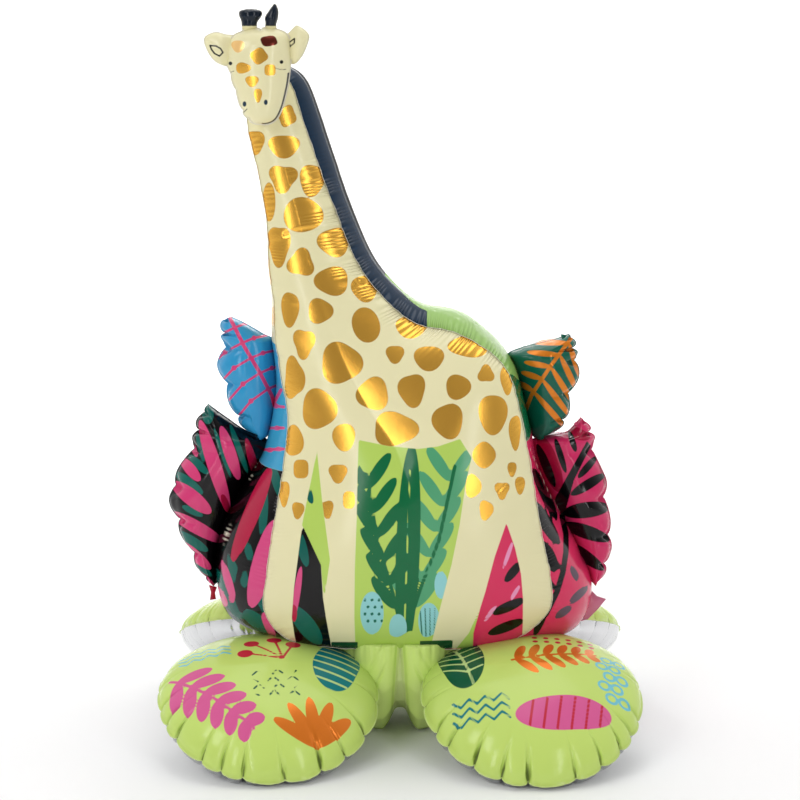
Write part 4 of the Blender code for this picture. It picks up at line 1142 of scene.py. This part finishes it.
def draw_upper_right(sheet):
    """Deep green leaf with an orange midrib and pointed side blades."""
    side = [(569 - 9 * k, 343 + 12 * k, 530 - 3 * k, 342 + 10 * k, 2.9) for k in range(5)]
    side += [(569 - 9 * k, 343 + 12 * k, 581 - 3 * k, 380 + 13 * k, 2.9) for k in range(5)]
    rib = stroke(sheet, ((572, 337), (552, 364), (532, 394), (522, 420)), 1.8)
    return {"orange": union(rib, blades(sheet, side))}


def draw_lower_right(sheet):
    """Magenta leaf with a black midrib that widens to its foot, black blades on both sides, and red blades of
    painted shade along its top and its left and right edges.
    """
    rib = polygon(sheet, ((587, 441), (591, 446), (574, 480), (565, 512), (566, 560), (574, 600), (562, 590),
                          (557, 540), (555, 498)))
    side = blades(sheet, ((537, 444, 555, 487, 4.5), (555, 438, 566, 473, 3.2), (569, 431, 576, 452, 3),
                          (578, 478, 597, 456, 3.6), (571, 495, 605, 474, 5), (563, 513, 610, 507, 8),
                          (563, 524, 610, 540, 7), (566, 542, 604, 570, 6), (568, 566, 592, 590, 4)))
    black = union(rib, side)
    # Painted shade: red blades where the leaf's top and its left and right edges turn into shade.
    red = blades(sheet, ((540, 436, 560, 492, 9), (560, 428, 590, 438, 6), (596, 440, 612, 500, 4)))
    return {"red": red, "black": black}


def build_leaves(detail, film):
    """The four leaf pillows, a lower and an upper one on each side."""
    upper_scale = UPPER_LEAF_HEIGHT / UPPER_LEAF_DRAFT_HEIGHT
    lower_scale = LOWER_LEAF_HEIGHT / LOWER_LEAF_DRAFT_HEIGHT
    lower_foot = BODY_FLOOR_GAP + LOWER_LEAF_FOOT
    upper_foot = lower_foot + UPPER_LEAF_FOOT_SHARE * LOWER_LEAF_HEIGHT
    pink = ink("pink", 212, 62, 118, 0.16)
    black = ink("black", 4, 4, 6, 0.12)
    orange = ink("orange", 222, 128, 34, 0.16, 0.3)
    teal = ink("teal", 7, 96, 86, 0.16)
    # This red is print on the lower left leaf and painted shade on the lower right leaf.
    red = ink("red", 160, 14, 56, 0.16)
    leaves = (
        ("leaf_upper_left", UPPER_LEFT_LEAF, upper_scale, upper_foot, -1, chosen("blue_leaf"), (pink,),
         draw_upper_left, "blue_leaf_foil", 101),
        ("leaf_lower_left", LOWER_LEFT_LEAF, lower_scale, lower_foot, -1, chosen("dark_leaf"),
         (teal, pink, red), draw_lower_left, "dark_leaf_foil", 111),
        ("leaf_upper_right", UPPER_RIGHT_LEAF, upper_scale, upper_foot, 1, chosen("green_leaf"),
         (orange,), draw_upper_right, "green_leaf_foil", 121),
        ("leaf_lower_right", LOWER_RIGHT_LEAF, lower_scale, lower_foot, 1, chosen("magenta_leaf"),
         (red, black), draw_lower_right, "magenta_leaf_foil", 131))
    for leaf in leaves:
        build_leaf(detail, film, *leaf)


def web_level(height_share):
    """Width share at a share of the web's height, straight between the levels."""
    levels = np.array(WEB_LEVELS)
    return np.interp(height_share, levels[:, 0], levels[:, 1])


def build_web(detail):
    """The middle of the base: an upright round cushion on each side of a flat strip, wider lower down.

    A level is x = W cos(a), y = D sin(a)^0.6. A cushion is half an ellipse 88 mm wide and 22 mm deep, and
    the creases run slantwise over it.
    """
    angle = np.linspace(0.0, 2.0 * np.pi, detail.web_samples, endpoint=False)
    rise = np.linspace(0.0, 1.0, detail.web_rows + 1)[:, None]
    height = BODY_FLOOR_GAP + WEB_INTO_BODY - WEB_FOOT_HEIGHT
    share = web_level(rise)
    x = WEB_HALF_WIDTH * share * np.cos(angle)
    strip_half = 0.005 + 0.010 * (1.0 - rise)
    off = np.abs(x) - strip_half
    cushion = np.sqrt(np.clip(1.0 - ((off - CUSHION_MIDDLE) / CUSHION_HALF_WIDTH) ** 2, 0.0, 1.0))
    bulge = CUSHION_DEPTH * cushion - CUSHION_SINK
    pleat = PLEAT_DEPTH * (1.0 - smooth_step(0.0, 0.006, off))
    slant = off + 0.09 * (rise - 0.4)
    crease = (0.004 * np.exp(-((slant - 0.055) / 0.0025) ** 2)
              + 0.003 * np.exp(-((slant - 0.082) / 0.003) ** 2))
    pucker_top = 0.0025 * np.maximum(0.0, np.sin(2.0 * np.pi * x / 0.019)) * smooth_step(0.72, 1.0, rise)
    depth = (WEB_HALF_DEPTH * share * np.abs(np.sin(angle)) ** 0.6 + bulge - pleat - pucker_top
             - crease * smooth_step(0.015, 0.03, off))
    y = np.sign(np.sin(angle)) * np.maximum(depth, 0.0)
    drop = WEB_OPENING_RISE * smooth_step(0.0, 0.035, np.abs(x) - 0.003) * (1.0 - rise) ** 1.2
    z = WEB_FOOT_HEIGHT + rise * height - drop
    grid = np.stack([x, y, z], axis=2)
    low = np.broadcast_to([0.0, 0.0, WEB_FOOT_HEIGHT], grid[0].shape)
    high = np.broadcast_to([0.0, 0.0, WEB_FOOT_HEIGHT + height], grid[0].shape)
    grid = np.concatenate([low[None], grid, high[None]])
    strip = (strip_half - np.abs(x)) / PIXEL
    fields = {"strip": np.vstack([strip[:1], strip, strip[-1:]])}
    material = film_material("base_web_film", chosen("web"), (ink("strip", 220, 234, 160, 0.2),), 0.16)
    return new_piece("web_film", grid, fields, material, "base_web")


def head_prints(sheet, place, kind):
    """Print fields of one pillow of the head, whose kind is face, ear or horn."""
    front = np.where(place == 0.0, 4.0, -4.0)
    none = np.full(place.shape, -4.0)
    made = {key: none for key in ("pale_spot", "gold", "red", "navy", "black", "slate")}
    eyes = union(*[disc(sheet, x, y, 1.9) for x, y in EYES])
    if kind == "face":
        made["gold"] = clipped(union(*[spot(sheet, *row) for row in FACE_SPOTS[1:]]), front)
        made["pale_spot"] = clipped(spot(sheet, *FACE_SPOTS[0]), front)
        made["red"] = clipped(spot(sheet, *FACE_RED_SPOT), front)
        nostrils = union(*[spot(sheet, x, y, 3.8, 5.4, 2, 90, .0) for x, y in NOSTRILS])
        made["slate"] = clipped(nostrils, front)
        made["black"] = clipped(union(eyes, *[stroke(sheet, path, 0.4) for path in FACE_CREASES]), front)
    elif kind == "ear":
        lines = union(stroke(sheet, LEFT_EAR_LINE, 0.8), stroke(sheet, RIGHT_EAR_LINE, 0.7))
        made["black"] = clipped(lines, front)
    else:
        made["navy"] = HORN_CAP_ROW - sheet[..., 1]
    return made


def build_head(film):
    """The face, ears and horns, each a flanged pillow, in one mesh before the neck's top."""
    scale = HEAD_HEIGHT / HEAD_DRAFT_HEIGHT
    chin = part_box("giraffe_body")[1][2] - CHIN_BELOW_NECK_TOP
    edge, spine, ridge, weld, bulge = body_curves(SIDE_LINE_SAMPLES)
    body = stand_body(np.concatenate([panel_rows(edge, spine, ridge, weld, 12, BODY_FULLNESS, -1.0),
                                      strip_rows(edge, weld, bulge, 8)[0]])).reshape(-1, 3)
    back_plane = body[body[:, 2] > chin][:, 1].min() - TOUCH_GAP
    middle_y = back_plane - HEAD_HALF_THICKNESS + HEAD_PRESS
    centre_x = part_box("giraffe_head")[0][0] - LEFT_EAR_PATTERN[0][0] * scale
    thickness = HEAD_HALF_THICKNESS / HEAD_DRAFT_HALF_THICKNESS
    points, faces, fields, offset = [], [], {}, 0
    parts = (("face", FACE_PATTERN, 160, 34, 0.0026, 61), ("ear", LEFT_EAR_PATTERN, 70, 18, 0.0016, 62),
             ("ear", RIGHT_EAR_PATTERN, 70, 18, 0.0016, 63), ("horn", LEFT_HORN_PATTERN, 70, 14, 0.0010, 64),
             ("horn", RIGHT_HORN_PATTERN, 70, 14, 0.0010, 65))
    for kind, pattern, samples, rings, flange, seed in parts:
        edge, spine, ridge, _, _ = pattern_curves(pattern, scale, thickness, samples)
        along, total = loop_lengths(edge)

        def dent(base, dist):
            fine, strength = notch_shares(along, total, 0.014, seed)
            return pucker(fine, strength, dist, 0.0018 if kind == "face" else 0.001, 0.008)

        share, strength = notch_shares(along, total, 0.032, seed + 5)
        cheek = 1.0 - smooth_step(-0.01, 0.02, edge[:, 0]) if kind == "face" else 0.0
        notch = 0.006 * cheek * strength * (1.0 - np.maximum(4.0 * share * (1.0 - share), 0.0) ** 0.6)
        grid, dist, place = flanged_rows(edge, spine, ridge, rings, max(6, rings // 2), film, flange,
                                         notch, 6.0, along, total, dent, seed)
        flat = np.hypot(grid[..., 0] - grid[rings, :, 0], grid[..., 2] - grid[rings, :, 2])
        right_rim = (kind == "face") & (place == 0.0) & (grid[..., 0] > 0.0) & (grid[..., 2] < 0.10)
        if kind == "ear":
            grid[..., 1] += 0.012 * smooth_step(-0.078, -0.050, -np.abs(grid[..., 0]))
        elif kind == "horn":
            grid[..., 1] += 0.010 * smooth_step(-0.190, -0.170, -grid[..., 2])
        grid = grid + (centre_x, middle_y, chin)
        grid[..., 1] = np.minimum(grid[..., 1], back_plane)
        made = head_prints(on_sheet(grid), place, kind)
        made["weld"] = weld_field(dist, place)
        made["black"] = np.where(right_rim, union(made["black"], (0.0026 - flat) / PIXEL), made["black"])
        rows, around = grid.shape[:2]
        faces.append(offset + grid_faces(rows, around))
        points.append(grid.reshape(-1, 3))
        offset += rows * around
        for key, value in made.items():
            fields.setdefault(key, []).append(value.reshape(-1))
    fields = {key: np.concatenate(value) for key, value in fields.items()}
    inks = (("gold", chosen("gold"), 0.8, 0.27), *HEAD_INKS, WELD_INK)
    material = film_material("giraffe_head_film", chosen("cream"), inks, 0.13)
    return mesh_piece("head_film", np.vstack(points), np.vstack(faces), fields, material,
                      "giraffe_head")


# The stage

def pale_material(name, colour):
    """Plain matt paper for the floor and backdrop."""
    material = bpy.data.materials.new(name)
    material.use_nodes = True
    shader = material.node_tree.nodes["Principled BSDF"]
    shader.inputs["Base Color"].default_value = (*colour, 1.0)
    shader.inputs["Roughness"].default_value = 0.9
    return material


def area_light(name, place, aim, width, height, power):
    """A soft rectangular light at a place, aimed at a point."""
    data = bpy.data.lights.new(name, "AREA")
    data.shape = "RECTANGLE"
    data.size = width
    data.size_y = height
    data.energy = power
    light = bpy.data.objects.new(name, data)
    bpy.context.scene.collection.objects.link(light)
    light.location = place
    way = np.array(aim, float) - np.array(place, float)
    flat = math.hypot(way[0], way[1])
    light.rotation_euler = (math.atan2(flat, -way[2]), 0.0, math.atan2(way[1], way[0]) - math.pi / 2)
    return light


def build_stage(studio):
    """Pale floor curved up into a backdrop, soft lights, the world's grey and the camera."""
    turn = np.linspace(0.0, 0.5 * np.pi, 25)
    radius = 1.2
    wall_height = 4.5
    below_feet = 0.0006
    profile_y = np.concatenate([[-studio.floor_reach], studio.backdrop_distance + radius * np.sin(turn),
                                [studio.backdrop_distance + radius]])
    profile_z = np.concatenate([[0.0], radius * (1.0 - np.cos(turn)), [wall_height]]) - below_feet
    width = studio.floor_reach
    wall = studio.backdrop_distance + radius
    points = np.concatenate([np.stack([np.full(len(profile_y), side * width), profile_y, profile_z], axis=1)
                             for side in (-1.0, 1.0)])
    count = len(profile_y)
    faces = [(k, count + k, count + k + 1, k + 1) for k in range(count - 1)]
    mesh = bpy.data.meshes.new("floor_and_backdrop")
    mesh.from_pydata(points.tolist(), [], faces)
    mesh.shade_smooth()
    mesh.materials.append(pale_material("studio_paper", (0.9, 0.9, 0.9)))
    floor = bpy.data.objects.new("floor_and_backdrop", mesh)
    bpy.context.scene.collection.objects.link(floor)
    lights = [
        area_light("key_softbox", (-2.4, -2.6, 2.9), (0.0, 0.0, 0.7), 1.2, 1.6, studio.key_power),
        area_light("left_strip", (-1.5, -3.4, 1.2), (0.0, 0.0, 0.8), 0.34, 2.6, studio.strip_power),
        area_light("right_strip", (1.7, -3.2, 1.3), (0.0, 0.0, 0.8), 0.34, 2.6, studio.strip_power),
        area_light("top_softbox", (0.2, 0.2, 3.4), (0.0, 0.0, 0.0), 2.2, 2.2, studio.top_power),
        area_light("backdrop_light", (0.0, wall - 2.2, 4.0), (0.0, wall, 1.2), 4.0, 0.6,
                   studio.backdrop_power),
    ]
    world = bpy.data.worlds.new("studio_air")
    world.use_nodes = True
    bpy.context.scene.world = world
    tree = world.node_tree
    air = tree.nodes["Background"]
    y_share = add_node(tree, "SeparateXYZ", {0: add_node(tree, "TexCoord", {}, "Generated")}, "Y")
    ramp = {"Value": y_share, "From Min": -0.75, "From Max": 0.2, "To Min": 0.22, "To Max": 1.0}
    tree.links.new(add_node(tree, "MapRange", ramp, "Result"), air.inputs["Color"])
    air.inputs["Strength"].default_value = studio.air_strength
    camera_data = bpy.data.cameras.new("camera")
    camera_data.sensor_width = SENSOR
    camera_data.lens = FOCAL_PIXELS * SENSOR / (2.0 * SHEET_MIDDLE)
    camera = bpy.data.objects.new("camera", camera_data)
    bpy.context.scene.collection.objects.link(camera)
    camera.location = (0.0, -EYE_DISTANCE, EYE_HEIGHT)
    camera.rotation_euler = (math.pi / 2 - PITCH, 0.0, 0.0)
    bpy.context.scene.camera = camera
    bpy.context.scene.view_settings.view_transform = "Standard"


# The add-on

def count_setting(name, text, default, least):
    """A whole number of samples or rows."""
    return bpy.props.IntProperty(name=name, description=text, default=default, min=least)


def length_setting(name, text, default):
    """A length in metres."""
    return bpy.props.FloatProperty(name=name, description=text, default=default, unit="LENGTH")


def power_setting(name, text, default):
    """A light's power in watts."""
    return bpy.props.FloatProperty(name=name, description=text, default=default, unit="POWER")


def colour_setting(name, text, default):
    """A colour in linear light."""
    return bpy.props.FloatVectorProperty(name=name, description=text, default=default, subtype="COLOR",
                                         min=0.0, max=1.0)


class BalloonDetail(bpy.types.PropertyGroup):
    """How finely each surface is sampled."""
    body_samples: count_setting("Body samples", "Samples down each side of the body", 440, 60)
    body_front_rows: count_setting("Body front rows", "Rows from the front ridge to the seam", 48, 8)
    body_strip_rows: count_setting("Body strip rows", "Rows over the side strip", 22, 4)
    body_back_rows: count_setting("Body back rows", "Rows from the back ridge to the seam", 20, 6)
    lobe_samples: count_setting("Lobe samples", "Samples round a base lobe", 680, 80)
    lobe_front_rows: count_setting("Lobe top rows", "Rows over a lobe's printed face", 46, 8)
    lobe_back_rows: count_setting("Lobe under rows", "Rows over a lobe's silver face", 18, 6)
    leaf_samples: count_setting("Leaf samples", "Samples down each side of a leaf", 200, 40)
    leaf_front_rows: count_setting("Leaf front rows", "Rows over a leaf's front", 30, 6)
    leaf_back_rows: count_setting("Leaf back rows", "Rows over a leaf's back", 16, 4)
    web_samples: count_setting("Web samples", "Samples round the web", 480, 60)
    web_rows: count_setting("Web rows", "Rows up the web", 48, 8)


class BalloonFilm(bpy.types.PropertyGroup):
    """The film, its welds and its puckers."""
    thickness: length_setting("Weld thickness", "Thickness of the two welded films", 0.0009)
    flange: length_setting("Flange", "Width of a flat weld flange", 0.0025)
    fin_length: length_setting("Fin", "Width of the weld that stands up along the body's seams", 0.003)
    crease_depth: length_setting("Crease depth", "Depth of the body's seam puckers", 0.0022)
    crease_spacing: length_setting("Crease spacing", "Mean distance between the seam puckers", 0.036)
    scallop_depth: length_setting("Scallop depth", "How far notches cut into a lobe's outline", 0.015)
    notch_spacing: length_setting("Notch spacing", "Mean distance between a lobe's notches", 0.066)
    swell: length_setting("Swell", "Slow unevenness of the film", 0.0012)


class BalloonColours(bpy.types.PropertyGroup):
    """The films' ground colours and the foil of the spots."""
    cream: colour_setting("Cream", "Ground of the body and the head", srgb(231, 224, 180))
    gold: colour_setting("Gold", "Metal of the giraffe's spots", (0.88, 0.47, 0.07))
    lime: colour_setting("Lime", "Printed side of the lobes", srgb(194, 218, 112))
    web: colour_setting("Web", "Film of the web between the lobes", srgb(208, 232, 128))
    blue_leaf: colour_setting("Blue leaf", "Ground of the upper left leaf", srgb(50, 150, 200))
    dark_leaf: colour_setting("Dark leaf", "Ground of the lower left leaf", srgb(5, 3, 5))
    green_leaf: colour_setting("Green leaf", "Ground of the upper right leaf", srgb(9, 94, 74))
    magenta_leaf: colour_setting("Magenta leaf", "Ground of the lower right leaf", srgb(206, 44, 98))


class BalloonStudio(bpy.types.PropertyGroup):
    """The stage and its lights."""
    floor_reach: length_setting("Floor reach", "Half width of the floor", 6.0)
    backdrop_distance: length_setting("Backdrop distance", "Where the floor starts to rise", 4.6)
    key_power: power_setting("Key", "Power of the key softbox", 29.0)
    strip_power: power_setting("Strips", "Power of each tall strip softbox", 18.0)
    top_power: power_setting("Top", "Power of the softbox above", 22.0)
    backdrop_power: power_setting("Backdrop", "Power of the backdrop light", 220.0)
    air_strength: bpy.props.FloatProperty(name="Air", description="Strength of the world's light",
                                          default=1.0, subtype="FACTOR")


def settings(context):
    """The scene's detail and film settings."""
    return context.scene.balloon_detail, context.scene.balloon_film


class BALLOON_OT_body(bpy.types.Operator):
    """Build the printed body and neck"""
    bl_idname = "balloon.body"
    bl_label = "Body"

    def execute(self, context):
        detail, film = settings(context)
        build_body(detail, film)
        build_tab(film, "corner_flap", RIGHT_FLAP, srgb(214, 120, 150))
        build_tab(film, "corner_tab", LEFT_TAB, srgb(176, 20, 50))
        return {"FINISHED"}


class BALLOON_OT_head(bpy.types.Operator):
    """Build the head with its ears and horns"""
    bl_idname = "balloon.head"
    bl_label = "Head"

    def execute(self, context):
        build_head(context.scene.balloon_film)
        return {"FINISHED"}


class BALLOON_OT_leaves(bpy.types.Operator):
    """Build the four leaf pillows"""
    bl_idname = "balloon.leaves"
    bl_label = "Leaves"

    def execute(self, context):
        build_leaves(*settings(context))
        return {"FINISHED"}


class BALLOON_OT_base(bpy.types.Operator):
    """Build the four base lobes and the web between them"""
    bl_idname = "balloon.base"
    bl_label = "Base"

    def execute(self, context):
        build_lobes(*settings(context))
        build_web(context.scene.balloon_detail)
        return {"FINISHED"}


class BALLOON_OT_stage(bpy.types.Operator):
    """Build the floor, backdrop, lights and camera"""
    bl_idname = "balloon.stage"
    bl_label = "Stage"

    def execute(self, context):
        build_stage(context.scene.balloon_studio)
        return {"FINISHED"}


class BALLOON_PT_panel(bpy.types.Panel):
    """Settings and buttons in the sidebar"""
    bl_idname = "BALLOON_PT_panel"
    bl_label = "Giraffe foil balloon"
    bl_space_type = "VIEW_3D"
    bl_region_type = "UI"
    bl_category = "Balloon"

    def draw(self, context):
        for name in SETTINGS:
            group = getattr(context.scene, name)
            box = self.layout.box()
            for key in group.bl_rna.properties.keys():
                if key not in ("rna_type", "name"):
                    box.prop(group, key)
        for name in OPERATORS:
            self.layout.operator("balloon." + name)


OPERATORS = ("body", "head", "leaves", "base", "stage")
SETTINGS = {"balloon_detail": BalloonDetail, "balloon_film": BalloonFilm, "balloon_colours": BalloonColours,
            "balloon_studio": BalloonStudio}
CLASSES = (*SETTINGS.values(), BALLOON_OT_body, BALLOON_OT_head, BALLOON_OT_leaves, BALLOON_OT_base,
           BALLOON_OT_stage, BALLOON_PT_panel)


def register():
    """Register the classes and put the settings on the scene."""
    for cls in CLASSES:
        bpy.utils.register_class(cls)
    for name, group in SETTINGS.items():
        setattr(bpy.types.Scene, name, bpy.props.PointerProperty(type=group))


def unregister():
    """Take the settings and classes away again."""
    for name in SETTINGS:
        delattr(bpy.types.Scene, name)
    for cls in reversed(CLASSES):
        bpy.utils.unregister_class(cls)


def main():
    """Build everything."""
    register()
    for name in OPERATORS:
        result = getattr(bpy.ops.balloon, name)()
        if result != {"FINISHED"}:
            raise RuntimeError("the step %s did not finish" % name)


if __name__ == "__main__":
    main()
